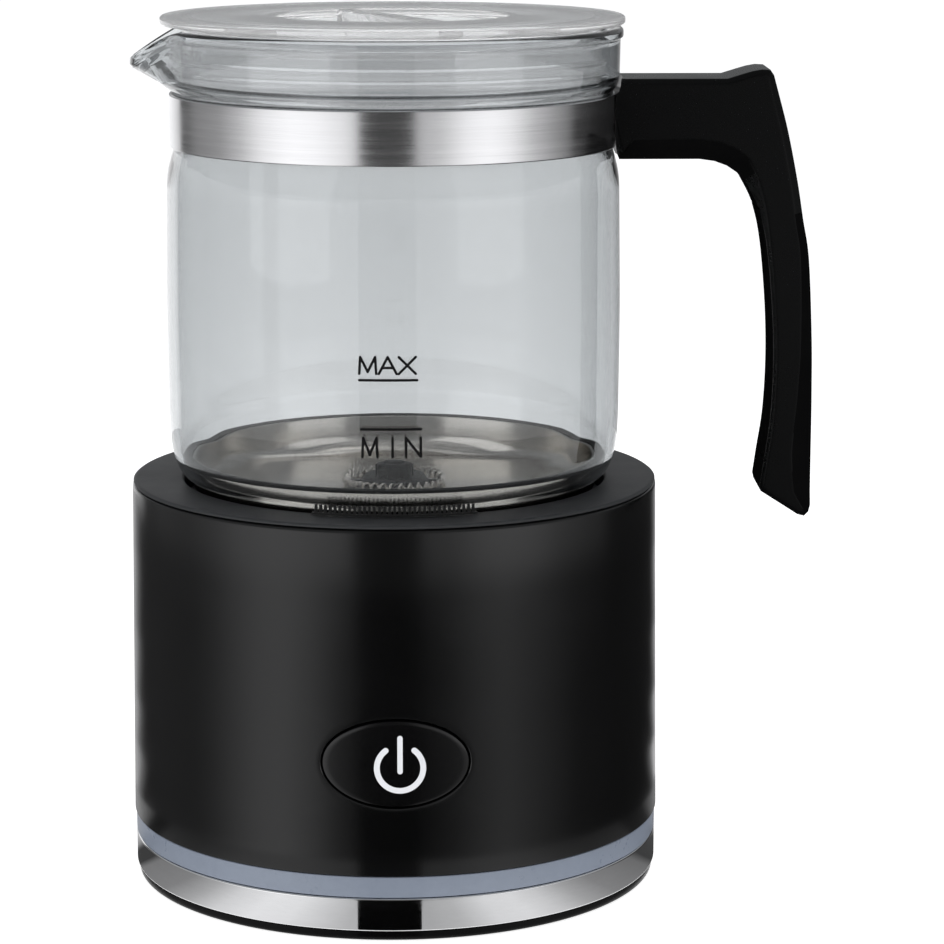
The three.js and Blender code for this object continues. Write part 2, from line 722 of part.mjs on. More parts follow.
// ---------------------------------------------------------------- lid
const PINCH_BAR = { angle: -66, halfWidth: 2.6, top: 211.9 };
function lidCover() {
  const { radius, top, plate, plugRadius, plugFoot, recess } = LID;
  const underside = top - plate;
  const floor = 207.0;
  const dish = turned([
    [0, floor],
    [recess - 1.4, floor],
    [recess - 0.2, floor + 1.2],
    [recess, top - 0.4],
    [recess + 0.4, top],
    [radius - 0.5, top],
    [radius, top - 0.5],
    [radius, underside + 0.4],
    [radius - 0.4, underside],
    [plugRadius + 1.2, underside],
    [plugRadius, underside - 1.0],
    [plugRadius, plugFoot],
    [plugRadius - 1.8, plugFoot],
    [plugRadius - 1.8, underside - 0.6],
    [plugRadius - 2.4, underside],
    [recess + 2.0, underside],
    [recess + 1.6, floor - 1.6],
    [recess, floor - 2.0],
    [0, floor - 2.0],
  ], RING_SIDES);
  const reach = recess + 0.6;
  const bar = block([-reach, reach], [-PINCH_BAR.halfWidth, PINCH_BAR.halfWidth], [floor - 0.6, PINCH_BAR.top]);
  return join(dish, bar.rotateZ(radians(PINCH_BAR.angle)));
}

function lidSeal() {
  const inner = LID.plugRadius + 0.05;
  return turned([
    [inner, 198.6],
    [inner + 0.7, 198.6],
    [52.0, 199.2],
    [inner + 0.7, 200.0],
    [inner + 0.7, 201.4],
    [52.0, 202.0],
    [inner + 0.7, 202.8],
    [inner, 202.8],
  ], RING_SIDES);
}

// ---------------------------------------------------------------- assembly
function buildBase() {
  const base = new THREE.Group();
  piece(base, 'base_housing', baseHousing(), SATIN_BLACK);
  piece(base, 'top_deck', topDeck(), DECK_GREY);
  piece(base, 'seat_dish', seatDish(), INNER_BLACK);
  piece(base, 'seat_plate', seatPlate(), INNER_BLACK);
  piece(base, 'vent_comb', ventComb(), INNER_BLACK);
  piece(base, 'light_ring', lightRing(), LIGHT_DIFFUSER);
  piece(base, 'chrome_ring', chromeRing(), CHROME);
  piece(base, 'ring_carrier', ringCarrier(), INNER_BLACK);
  piece(base, 'bottom_plate', bottomPlate(), INNER_BLACK);
  piece(base, 'cord_inlet', cordInlet(), RUBBER);
  FOOT_ANGLES.forEach((angle, i) => piece(base, `rubber_foot_${i + 1}`, rubberFoot(angle), RUBBER));
  SCREW_ANGLES.forEach((angle, i) => piece(base, `base_screw_${i + 1}`, baseScrew(angle), STEEL));
  return base;
}

function buildWorks() {
  const works = new THREE.Group();
  piece(works, 'led_ring_board', ledRingBoard(), BOARD);
  piece(works, 'control_board', controlBoard(), BOARD);
  piece(works, 'heat_sink', heatSink(), ALUMINIUM);
  piece(works, 'filter_capacitor', filterCapacitor(), GLOSS_BLACK);
  piece(works, 'choke_coil', chokeCoil(), COPPER);
  piece(works, 'button_guide', buttonGuide(), INNER_BLACK);
  piece(works, 'switch_board', switchBoard(), BOARD);
  piece(works, 'tact_switch', tactSwitch(), INNER_BLACK);
  piece(works, 'drive_motor', driveMotor(), ALUMINIUM);
  piece(works, 'motor_bracket', motorBracket(), STEEL);
  piece(works, 'coil_carrier', coilCarrier(), INNER_BLACK);
  piece(works, 'induction_coil', inductionCoil(), COPPER);
  piece(works, 'temperature_sensor', temperatureSensor(), WHITE);
  [0, 90, 180, 270].forEach((angle, i) => {
    piece(works, `ferrite_bar_${i + 1}`, ferriteBar(angle), FERRITE);
  });
  return works;
}

function buildRotor() {
  const rotor = new THREE.Group();
  piece(rotor, 'motor_shaft', motorShaft(), STEEL);
  piece(rotor, 'magnet_carrier', magnetCarrier(), INNER_BLACK);
  [-1, 1].forEach((side, i) => piece(rotor, `drive_magnet_${i + 1}`, driveMagnet(side), FERRITE));
  return rotor;
}

function buildButton() {
  const button = new THREE.Group();
  piece(button, 'power_button', powerButton(), GLOSS_BLACK);
  piece(button, 'icon_light_guide', iconLightGuide(), WHITE);
  piece(button, 'switch_plunger', switchPlunger(), WHITE);
  return button;
}

function buildJug() {
  const jug = new THREE.Group();
  piece(jug, 'jug_glass', jugGlass(), CLEAR_GLASS);
  piece(jug, 'heater_cup', heaterCup(), STEEL);
  piece(jug, 'jug_seal', jugSeal(), RUBBER);
  piece(jug, 'steel_band', steelBand(), BRUSHED);
  piece(jug, 'band_bracket', bandBracket(), STEEL);
  piece(jug, 'handle_shell', handleShell(), SATIN_BLACK);
  piece(jug, 'handle_liner', handleLiner(), GLOSS_BLACK);
  piece(jug, 'whisk_pin', whiskPin(), STEEL);
  HANDLE_SCREWS.forEach((x, i) => piece(jug, `handle_screw_${i + 1}`, handleScrew(x), STEEL));
  return jug;
}

function buildWhisk() {
  const whisk = new THREE.Group();
  piece(whisk, 'whisk_hub', whiskHub(), INNER_BLACK);
  piece(whisk, 'whisk_coil', whiskCoil(), STEEL);
  return whisk;
}

function buildLid() {
  const lid = new THREE.Group();
  piece(lid, 'lid_cover', lidCover(), CLEAR_PLASTIC);
  piece(lid, 'lid_seal', lidSeal(), CLEAR_PLASTIC);
  return lid;
}

const frother = new THREE.Group();
frother.add(buildBase(), buildWorks(), buildRotor(), buildButton(), buildJug(), buildWhisk(), buildLid());
export default frother;
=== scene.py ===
"""A glass milk frother jug standing on its round induction base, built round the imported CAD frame.

Lengths are given in millimetres and become metres when a mesh is made. Angles round the object are
measured from the front (-Y) towards the handle (+X).
"""
import math

import bmesh
import bpy
from mathutils import Matrix, Vector


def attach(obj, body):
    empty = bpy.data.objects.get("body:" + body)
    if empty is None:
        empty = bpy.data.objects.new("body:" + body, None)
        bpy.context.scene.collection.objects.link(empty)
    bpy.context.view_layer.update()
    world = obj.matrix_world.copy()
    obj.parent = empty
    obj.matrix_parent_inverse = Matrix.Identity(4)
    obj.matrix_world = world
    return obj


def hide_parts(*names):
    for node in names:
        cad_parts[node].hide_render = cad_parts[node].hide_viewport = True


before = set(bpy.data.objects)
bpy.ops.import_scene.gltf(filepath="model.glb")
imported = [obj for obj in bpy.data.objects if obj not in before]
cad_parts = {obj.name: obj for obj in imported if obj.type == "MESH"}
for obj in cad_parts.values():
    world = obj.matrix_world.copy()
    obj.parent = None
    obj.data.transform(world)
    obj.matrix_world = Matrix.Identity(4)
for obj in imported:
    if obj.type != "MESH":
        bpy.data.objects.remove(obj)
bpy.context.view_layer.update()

MM = 0.001
SIDES = 192  # segments round the large rings
SMALL_SIDES = 48  # segments round screws, feet and the whisk
CREASE = math.radians(28)  # edges that turn more than this stay crisp

# ------------------------------------------------------------------ sizes shared by several pieces
BASE = {"low_radius": 65.35, "high_radius": 64.5, "wall": 2.4, "foot": 15.9, "rim": 98.3}
BUTTON = {"z": 43.05, "half_width": 17.2, "half_height": 10.4, "gap": 0.4, "sunk": 0.28, "back": 60.9}
ICON = {
    "x": 1.0, "z": 42.1, "radius": 5.4, "half_stroke": 0.68, "opening": 38.0,
    "bar_foot": 41.3, "bar": 8.0, "bar_half": 0.62, "proud": 0.03, "deep": 0.5,
}
SPOUT = {"half_angle": 26.0, "reach": 7.7, "drop": 6.9, "foot": 194.0, "lip": 206.0}
CORD_Z = 27.0  # height of the mains lead's inlet
SCREW_CIRCLE = 55.0
FOOT_CIRCLE = 50.0
ARM_SCREWS = (60.5, 67.5)  # X of the two screws of the handle
HANDLE_HALF = 10.0  # half widths, along Y
LINER_HALF = 8.6


# ------------------------------------------------------------------ mesh helpers
def shade(obj, crease=CREASE):
    """Smooth faces, with crisp edges where the surface really turns."""
    bm = bmesh.new()
    bm.from_mesh(obj.data)
    for face in bm.faces:
        face.smooth = True
    for edge in bm.edges:
        edge.smooth = len(edge.link_faces) == 2 and edge.calc_face_angle(0.0) < crease
    bm.to_mesh(obj.data)
    bm.free()
    return obj


def finished(name, bm, crease=CREASE):
    """Turns a bmesh in millimetres into a scene object in metres."""
    bmesh.ops.remove_doubles(bm, verts=bm.verts, dist=1e-4)
    bmesh.ops.recalc_face_normals(bm, faces=bm.faces)
    bmesh.ops.scale(bm, vec=(MM, MM, MM), verts=bm.verts)
    mesh = bpy.data.meshes.new(name)
    bm.to_mesh(mesh)
    bm.free()
    obj = bpy.data.objects.new(name, mesh)
    bpy.context.scene.collection.objects.link(obj)
    return shade(obj, crease)


def soften(outline, closed=False, steps=4):
    """Rounds the corners that carry a third number, the length that the rounding takes off each side."""
    rounded = []
    for i, point in enumerate(outline):
        here = Vector(point[:2])
        at_end = not closed and i in (0, len(outline) - 1)
        if len(point) < 3 or at_end:
            rounded.append(tuple(here))
            continue
        before = Vector(outline[i - 1][:2]) - here
        after = Vector(outline[(i + 1) % len(outline)][:2]) - here
        reach = min(point[2], 0.45 * before.length, 0.45 * after.length)
        start = here + before.normalized() * reach
        end = here + after.normalized() * reach
        for k in range(steps + 1):
            t = k / steps
            rounded.append(tuple(start * (1 - t) ** 2 + here * 2 * t * (1 - t) + end * t * t))
    return rounded


def skin(bm, a, b, closed=True):
    """Faces between two loops of vertices; a loop of one vertex makes a fan."""
    count = max(len(a), len(b))
    for i in range(count if closed else count - 1):
        j = (i + 1) % count
        corners = [a[i % len(a)], a[j % len(a)], b[j % len(b)], b[i % len(b)]]
        bm.faces.new(list(dict.fromkeys(corners)))


def tube(bm, loops):
    """Faces from each loop to the next, with both ends closed."""
    for a, b in zip(loops, loops[1:]):
        skin(bm, a, b)
    bm.faces.new(loops[0])
    bm.faces.new(loops[-1])


def lathe(name, outline, sides=SIDES, centre=(0.0, 0.0)):
    """A solid of revolution about Z. Its outline is a closed loop, or runs from the axis to the axis."""
    on_axis = outline[0][0] == 0 and outline[-1][0] == 0
    points = soften(outline, closed=not on_axis)
    bm = bmesh.new()
    turn = 2 * math.pi / sides
    loops = []
    for radius, z in points:
        loop = []
        for i in range(sides if radius > 1e-6 else 1):
            x = centre[0] + radius * math.cos(i * turn)
            y = centre[1] + radius * math.sin(i * turn)
            loop.append(bm.verts.new((x, y, z)))
        loops.append(loop)
    for a, b in zip(loops, loops[1:]):
        skin(bm, a, b)
    if not on_axis:
        skin(bm, loops[-1], loops[0])
    return finished(name, bm)


def block(name, size, centre, turn=0.0):
    """A rounded bar at a place, which then turns about Z. It cuts into a piece or joins it."""
    rounding = min(size) * 0.12
    bm = bmesh.new()
    bmesh.ops.create_cube(bm, size=1.0)
    bmesh.ops.scale(bm, vec=size, verts=bm.verts)
    bmesh.ops.bevel(bm, geom=bm.edges[:], offset=rounding, segments=3, profile=0.5, affect="EDGES")
    bmesh.ops.translate(bm, vec=centre, verts=bm.verts)
    for vert in bm.verts:
        x, y, _ = vert.co
        vert.co.x = x * math.cos(turn) - y * math.sin(turn)
        vert.co.y = x * math.sin(turn) + y * math.cos(turn)
    return finished(name, bm)


def combined(target, others, operation="DIFFERENCE"):
    """Cuts the other solids out of the target, or joins them to it."""
    for other in others:
        step = target.modifiers.new("combine", "BOOLEAN")
        step.operation = operation
        step.solver = "EXACT"
        step.object = other
        graph = bpy.context.evaluated_depsgraph_get()
        result = bpy.data.meshes.new_from_object(target.evaluated_get(graph))
        target.modifiers.clear()
        target.data = result
        bpy.data.objects.remove(other)
    return shade(target)


def catmull(points, steps=6):
    """A smooth run through points of any number of values, ends included."""
    run = []
    for i in range(len(points) - 1):
        p0 = points[max(i - 1, 0)]
        p1 = points[i]
        p2 = points[i + 1]
        p3 = points[min(i + 2, len(points) - 1)]
        for k in range(steps):
            t = k / steps
            run.append(tuple(
                0.5 * (2 * b + (c - a) * t + (2 * a - 5 * b + 4 * c - d) * t * t
                       + (3 * b - a - 3 * c + d) * t ** 3)
                for a, b, c, d in zip(p0, p1, p2, p3)
            ))
    run.append(tuple(points[-1]))
    return run


def ribbon(bm, path, half, place, proud, deep):
    """A flat stroke with round ends, laid on a curved surface by place(x, z, lift)."""
    round_end = (1.0, 0.92, 0.7, 0.38)
    points = [Vector(p) for p in path]
    first = (points[0] - points[1]).normalized()
    last = (points[-1] - points[-2]).normalized()
    stations = []
    for k in round_end:
        stations.append((points[0] + first * half * k, half * math.sqrt(1 - k * k)))
    stations += [(p, half) for p in points]
    for k in reversed(round_end):
        stations.append((points[-1] + last * half * k, half * math.sqrt(1 - k * k)))
    loops = []
    for i, (p, width) in enumerate(stations):
        ahead = stations[min(i + 1, len(stations) - 1)][0]
        behind = stations[max(i - 1, 0)][0]
        along = (ahead - behind).normalized()
        side = Vector((-along.y, along.x)) * max(width, 1e-3)
        corners = [(p - side, proud), (p, proud), (p + side, proud), (p + side, -deep), (p - side, -deep)]
        loops.append([bm.verts.new(place(q.x, q.y, lift)) for q, lift in corners])
    tube(bm, loops)


def on_round(radius_at):
    """place() for ribbon: on the front of a round wall whose radius depends on the height."""
    def place(x, z, lift):
        radius = radius_at(z)
        angle = math.asin(x / radius)
        return ((radius + lift) * math.sin(angle), -(radius + lift) * math.cos(angle), z)
    return place


# ------------------------------------------------------------------ procedural finishes
BROAD_SCALE = 60.0  # of the noise that mottles a whole piece
CORNER = (0.505, 0.56)  # pointiness at which the painted edge highlight on a corner begins, and is at full strength


def fill(made, **inputs):
    """Sets a shader node's sockets, named with _ for each space."""
    for name, value in inputs.items():
        made.inputs[name.replace("_", " ")].default_value = value
    return made


def node(tree, kind, **inputs):
    return fill(tree.nodes.new(kind), **inputs)


def surface_vector(tree, stretch, spun):
    """Object coordinates, or (distance from the axis, 0, height) for spun metal, stretched per axis."""
    coords = tree.nodes.new("ShaderNodeTexCoord")
    mapping = node(tree, "ShaderNodeMapping", Scale=stretch)
    if not spun:
        tree.links.new(coords.outputs["Object"], mapping.inputs["Vector"])
        return mapping.outputs["Vector"]
    split = tree.nodes.new("ShaderNodeSeparateXYZ")
    flat = tree.nodes.new("ShaderNodeCombineXYZ")
    length = tree.nodes.new("ShaderNodeVectorMath")
    length.operation = "LENGTH"
    joined = tree.nodes.new("ShaderNodeCombineXYZ")
    tree.links.new(coords.outputs["Object"], split.inputs[0])
    tree.links.new(split.outputs["X"], flat.inputs["X"])
    tree.links.new(split.outputs["Y"], flat.inputs["Y"])
    tree.links.new(flat.outputs[0], length.inputs[0])
    tree.links.new(length.outputs["Value"], joined.inputs["X"])
    tree.links.new(split.outputs["Z"], joined.inputs["Z"])
    tree.links.new(joined.outputs[0], mapping.inputs["Vector"])
    return mapping.outputs["Vector"]


def ranged(tree, source, low, high, start=0.3, end=0.7):
    spread = node(tree, "ShaderNodeMapRange", From_Min=start, From_Max=end, To_Min=low, To_Max=high)
    tree.links.new(source, spread.inputs["Value"])
    return spread.outputs["Result"]


def tinted(tree, source, colour, spread):
    """A colour that varies by a fraction either way with the source."""
    ramp = tree.nodes.new("ShaderNodeValToRGB")
    ramp.color_ramp.elements[0].position = 0.3
    ramp.color_ramp.elements[1].position = 0.7
    ramp.color_ramp.elements[0].color = [c * (1 - spread) for c in colour] + [1.0]
    ramp.color_ramp.elements[1].color = [min(1.0, c * (1 + spread)) for c in colour] + [1.0]
    tree.links.new(source, ramp.inputs["Fac"])
    return ramp.outputs["Color"]


def finish(name, colour, rough, grain=1.0, stretch=(1, 1, 1), spun=False, tone=0.1, rough_spread=0.05,
           bump=0.0, edge=0.0, **sockets):
    """A shader with mottled colour, uneven gloss and a fine relief. grain is the size of the relief's
    features and bump their height, both in millimetres; edge paints a highlight on sharp corners."""
    made = bpy.data.materials.new(name)
    made.use_nodes = True
    tree = made.node_tree
    shader = tree.nodes["Principled BSDF"]
    fill(shader, **sockets)
    vector = surface_vector(tree, stretch, spun)
    broad = node(tree, "ShaderNodeTexNoise", Scale=BROAD_SCALE, Detail=3.0, Roughness=0.55)
    fine = node(tree, "ShaderNodeTexNoise", Scale=1000.0 / grain, Detail=4.0, Roughness=0.6)
    tree.links.new(vector, broad.inputs["Vector"])
    tree.links.new(vector, fine.inputs["Vector"])
    both = tree.nodes.new("ShaderNodeMath")
    both.operation = "MULTIPLY_ADD"
    both.inputs[1].default_value = 0.5
    tree.links.new(fine.outputs["Fac"], both.inputs[0])
    half = tree.nodes.new("ShaderNodeMath")
    half.operation = "MULTIPLY"
    half.inputs[1].default_value = 0.5
    tree.links.new(broad.outputs["Fac"], half.inputs[0])
    tree.links.new(half.outputs[0], both.inputs[2])
    base = tinted(tree, both.outputs[0], colour, tone)
    # Painted highlight: corners with high pointiness are mixed towards a lighter colour, standing in for
    # light caught on the edges.
    if edge:
        shape = tree.nodes.new("ShaderNodeNewGeometry")
        edge_highlight = ranged(tree, shape.outputs["Pointiness"], 0.0, edge, *CORNER)
        mix = tree.nodes.new("ShaderNodeMix")
        mix.data_type = "RGBA"
        mix.inputs["B"].default_value = [min(1.0, 0.08 + 2.2 * c) for c in colour] + [1.0]
        tree.links.new(edge_highlight, mix.inputs["Factor"])
        tree.links.new(base, mix.inputs["A"])
        base = mix.outputs["Result"]
    tree.links.new(base, shader.inputs["Base Color"])
    gloss = ranged(tree, both.outputs[0], max(0.0, rough - rough_spread), rough + rough_spread)
    tree.links.new(gloss, shader.inputs["Roughness"])
    if bump:
        relief = node(tree, "ShaderNodeBump", Strength=1.0, Distance=bump * MM)
        tree.links.new(fine.outputs["Fac"], relief.inputs["Height"])
        tree.links.new(relief.outputs["Normal"], shader.inputs["Normal"])
    return made


def clear(name, colour, rough, wave, ior, **sockets):
    """Clear glass or plastic: a faint drawn-out waviness and slightly uneven gloss."""
    return finish(name, colour, rough, grain=14.0, stretch=(1, 1, 0.35), tone=0.01,
                  rough_spread=rough * 0.5, bump=wave, IOR=ior, **sockets)


def absorbing(made, colour, density):
    """Darkens a clear piece by the length of the way through it, density in 1/m."""
    tree = made.node_tree
    depth = node(tree, "ShaderNodeVolumeAbsorption", Density=density, Color=(*colour, 1.0))
    tree.links.new(depth.outputs["Volume"], tree.nodes["Material Output"].inputs["Volume"])
    return made


# edge= sets how strongly sharp corners are lightened as a painted highlight.
LOOKS = {
    "satin_black": ((0.0018, 0.0019, 0.0020), 0.20, dict(
        grain=0.35, tone=0.16, rough_spread=0.035, bump=0.003, edge=0.06, Specular_IOR_Level=0.46)),
    "handle_black": ((0.0022, 0.0023, 0.0024), 0.28, dict(
        grain=0.3, tone=0.16, rough_spread=0.05, bump=0.004, Specular_IOR_Level=0.10)),
    "grip_black": ((0.0030, 0.0030, 0.0031), 0.6, dict(
        grain=0.3, tone=0.25, rough_spread=0.08, bump=0.01, Specular_IOR_Level=0.0)),
    "deck_grey": ((0.020, 0.021, 0.023), 0.5, dict(
        grain=0.25, tone=0.18, rough_spread=0.07, bump=0.012, edge=0.12, Specular_IOR_Level=0.35)),
    "gloss_black": ((0.0022, 0.0022, 0.0024), 0.22, dict(
        grain=0.8, tone=0.2, rough_spread=0.05, bump=0.001, Specular_IOR_Level=0.4, Coat_Weight=0.1,
        Coat_Roughness=0.15)),
    "inner_black": ((0.007, 0.007, 0.0072), 0.45, dict(
        grain=0.4, tone=0.2, rough_spread=0.08, bump=0.008, edge=0.08, Specular_IOR_Level=0.2)),
    "rubber_black": ((0.012, 0.012, 0.012), 0.7, dict(
        grain=0.5, tone=0.25, rough_spread=0.1, bump=0.02)),
    "chrome_trim": ((0.86, 0.865, 0.875), 0.07, dict(
        grain=3.0, stretch=(1, 1, 6), tone=0.03, rough_spread=0.03, bump=0.0006, Metallic=1.0)),
    "polished_steel": ((0.56, 0.53, 0.49), 0.17, dict(
        grain=0.35, spun=True, tone=0.14, rough_spread=0.06, bump=0.0012, Metallic=1.0)),
    "brushed_band": ((0.70, 0.70, 0.71), 0.16, dict(
        grain=1.6, stretch=(0.12, 0.12, 14), tone=0.10, rough_spread=0.06, bump=0.0012,
        Metallic=1.0, Anisotropic=0.55)),
    "light_diffuser": ((0.215, 0.247, 0.31), 0.3, dict(
        grain=2.0, tone=0.06, rough_spread=0.05, bump=0.0004, Coat_Weight=0.1)),
    # Painted glow: the faint emission makes this plastic brighter than the lamps light it, though it is no
    # lamp.
    "white_plastic": ((0.70, 0.71, 0.74), 0.35, dict(
        grain=0.6, tone=0.03, bump=0.002, Emission_Color=(1, 1, 1, 1), Emission_Strength=0.08)),
    "mark_ink": ((0.006, 0.006, 0.0065), 0.5, dict(
        grain=0.2, tone=0.3, rough_spread=0.1, bump=0.003, Specular_IOR_Level=0.1)),
    "copper": ((0.60, 0.29, 0.15), 0.32, dict(
        grain=0.5, spun=True, tone=0.2, rough_spread=0.08, bump=0.02, Metallic=1.0)),
    "circuit_board": ((0.02, 0.11, 0.045), 0.42, dict(
        grain=2.0, tone=0.35, rough_spread=0.1, bump=0.01, Coat_Weight=0.2)),
    "ferrite": ((0.05, 0.05, 0.053), 0.6, dict(
        grain=0.3, tone=0.25, rough_spread=0.1, bump=0.015)),
    "aluminium": ((0.66, 0.67, 0.68), 0.34, dict(
        grain=0.5, stretch=(1, 1, 6), tone=0.08, rough_spread=0.08, bump=0.003, Metallic=1.0)),
}
FINISH = {name: finish(name, colour, rough, **rest) for name, (colour, rough, rest) in LOOKS.items()}
FINISH["clear_glass"] = absorbing(
    clear("clear_glass", (0.755, 0.765, 0.77), 0.012, 0.008, 1.55, Transmission_Weight=1.0),
    (0.30, 0.36, 0.40), 62.0)
FINISH["clear_plastic"] = clear(
    "clear_plastic", (0.975, 0.977, 0.98), 0.03, 0.004, 1.44, Transmission_Weight=0.85)


def add(piece, body, nodes, slot, look=None):
    """Dresses a new piece, puts it on its CAD body and hides the CAD nodes that it stands for."""
    piece.data.materials.clear()
    piece.data.materials.append(FINISH[look or slot])
    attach(piece, body)
    if nodes:
        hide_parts(*nodes)
    return piece


# ------------------------------------------------------------------ base: housing with its oval button hole
COLUMNS = 240
PATCH_COLUMNS = 14  # columns of the grid either side of the front that the oval hole's patch takes
PATCH_ROWS = 12
PATCH_Z = (29.0, 57.1)
HOLE_ROUND = 0.45  # how far outside the hole its rounded edge begins


def housing_radius(z, inset=0.0):
    share = (z - BASE["foot"]) / (BASE["rim"] - BASE["foot"])
    return BASE["low_radius"] + (BASE["high_radius"] - BASE["low_radius"]) * share - inset


def round_wall(bm, inset, heights, low_row):
    """A round wall with a hole for the button. Gives the loops at its bottom, top and hole, the grid
    points round the hole's patch, and oval(), which moves such a point to the hole."""
    turn = 2 * math.pi / COLUMNS
    half = COLUMNS // 2
    high_row = low_row + PATCH_ROWS

    def put(angle, z):
        radius = housing_radius(z, inset)
        return bm.verts.new((radius * math.sin(angle), -radius * math.cos(angle), z))

    def inside(row, column):
        return low_row < row < high_row and abs(column) < PATCH_COLUMNS

    grid = {}
    for row, z in enumerate(heights):
        for column in range(-half, half):
            if not inside(row, column):
                grid[row, column] = put(column * turn, z)
    for row in range(len(heights) - 1):
        for column in range(-half, half):
            if low_row <= row < high_row and -PATCH_COLUMNS <= column < PATCH_COLUMNS:
                continue
            after = column + 1 if column + 1 < half else -half
            bm.faces.new([grid[row, column], grid[row, after], grid[row + 1, after], grid[row + 1, column]])
    edge = [(low_row, c) for c in range(-PATCH_COLUMNS, PATCH_COLUMNS)]
    edge += [(r, PATCH_COLUMNS) for r in range(low_row, high_row)]
    edge += [(high_row, c) for c in range(PATCH_COLUMNS, -PATCH_COLUMNS, -1)]
    edge += [(r, -PATCH_COLUMNS) for r in range(high_row, low_row, -1)]
    loop = [grid[key] for key in edge]
    centre = BUTTON["z"]
    middle = (PATCH_Z[0] + PATCH_Z[1]) / 2
    reach_z = (PATCH_Z[1] - PATCH_Z[0]) / 2
    reach_angle = PATCH_COLUMNS * turn
    hole_width = BUTTON["half_width"] + BUTTON["gap"]
    hole_height = BUTTON["half_height"] + BUTTON["gap"]

    def oval(key, grow, share):
        z = heights[key[0]]
        angle = key[1] * turn
        t = math.atan2((z - middle) / reach_z, angle / reach_angle)
        hole_z = centre + (hole_height + grow) * math.sin(t)
        hole_angle = math.asin((hole_width + grow) * math.cos(t) / housing_radius(hole_z, inset))
        return angle + (hole_angle - angle) * share, z + (hole_z - z) * share

    for share in (0.3, 0.6, 0.85, 1.0):
        ring = [put(*oval(key, HOLE_ROUND, share)) for key in edge]
        skin(bm, loop, ring)
        loop = ring
    bottom = [grid[0, c] for c in range(-half, half)]
    top = [grid[len(heights) - 1, c] for c in range(-half, half)]
    return bottom, top, loop, edge, oval


def make_housing():
    bm = bmesh.new()
    rim = BASE["rim"]
    foot = BASE["foot"]
    rows = [PATCH_Z[0] + (PATCH_Z[1] - PATCH_Z[0]) * k / PATCH_ROWS for k in range(PATCH_ROWS + 1)]
    heights = [foot + 0.35, 22.0] + rows + [68.0, 82.0, rim - 0.9]
    bottom, top, hole, edge, oval = round_wall(bm, 0.0, heights, 2)
    inner_bottom, inner_top, inner_hole, _, _ = round_wall(bm, BASE["wall"], heights, 2)
    turn = 2 * math.pi / COLUMNS

    def ring(inset, z):
        radius = housing_radius(z, inset)
        angles = [c * turn for c in range(-COLUMNS // 2, COLUMNS // 2)]
        return [bm.verts.new((radius * math.sin(a), -radius * math.cos(a), z)) for a in angles]

    loop = top
    for inset, z in ((0.05, rim - 0.5), (0.2, rim - 0.2), (0.5, rim), (BASE["wall"] - 0.2, rim)):
        following = ring(inset, z)
        skin(bm, loop, following)
        loop = following
    skin(bm, loop, inner_top)
    loop = bottom
    for inset, z in ((0.08, foot + 0.1), (0.3, foot), (BASE["wall"] - 0.2, foot)):
        following = ring(inset, z)
        skin(bm, loop, following)
        loop = following
    skin(bm, loop, inner_bottom)
    loop = hole
    for grow, sink in ((0.2, 0.05), (0.05, 0.2), (0.0, 0.5), (0.0, BASE["wall"] - 0.4)):
        following = []
        for key in edge:
            angle, z = oval(key, grow, 1.0)
            radius = housing_radius(z, sink)
            following.append(bm.verts.new((radius * math.sin(angle), -radius * math.cos(angle), z)))
        skin(bm, loop, following)
        loop = following
    skin(bm, loop, inner_hole)
    housing = finished("body_shell", bm)
    bore = lathe("cord_bore_tool", [(0, -75), (6.4, -75), (6.4, -55), (0, -55)], SMALL_SIDES)
    bore.data.transform(axis_turn(CORD_Z))
    return combined(housing, [bore])


def axis_turn(z):
    """Turns a piece made about Z so that its axis runs along -Y at that height, in metres."""
    return Matrix.Translation((0, 0, z * MM)) @ Matrix.Rotation(math.radians(90), 4, "X")


add(make_housing(), "base", ["base_housing"], "satin_black")


# ------------------------------------------------------------------ base: turned pieces
add(lathe("top_trim", [
    (51.9, 98.6), (64.2, 98.6, 0.1), (64.3, 98.95), (63.7, 99.4, 0.4), (52.4, 99.4, 0.35),
    (51.9, 99.0, 0.3),
]), "base", ["top_deck"], "deck_grey")
add(lathe("seat_frame", [
    (46.5, 91.6), (53.9, 91.6), (53.9, 96.3), (61.8, 96.3), (61.8, 98.3), (51.9, 98.3, 0.3), (51.9, 92.75),
    (46.5, 92.75),
]), "base", ["seat_dish"], "inner_black")
add(lathe("seat_disc", [
    (0, 92.8), (51.5, 92.8), (51.5, 94.2, 0.3), (51.0, 94.7, 0.3), (0, 94.7),
]), "base", ["seat_plate"], "inner_black")
add(lathe("trim_carrier", [
    (59.4, 3.3), (61.2, 3.3, 0.2), (61.2, 12.6, 0.3), (59.4, 12.6, 0.3),
]), "base", ["ring_carrier"], "inner_black")
add(lathe("glow_ring", [
    (61.8, 10.6), (65.0, 10.6, 0.35), (65.0, 15.7, 0.35), (61.8, 15.7),
]), "base", ["light_ring"], "light_diffuser")
add(lathe("bright_ring", [
    (61.6, 2.3), (64.6, 2.3, 0.3), (65.0, 2.8, 0.3), (65.0, 10.1, 0.3), (64.75, 10.4, 0.2), (61.6, 10.4),
]), "base", ["chrome_ring"], "chrome_trim")


def on_circle(radius, angle):
    return radius * math.cos(math.radians(angle)), radius * math.sin(math.radians(angle))


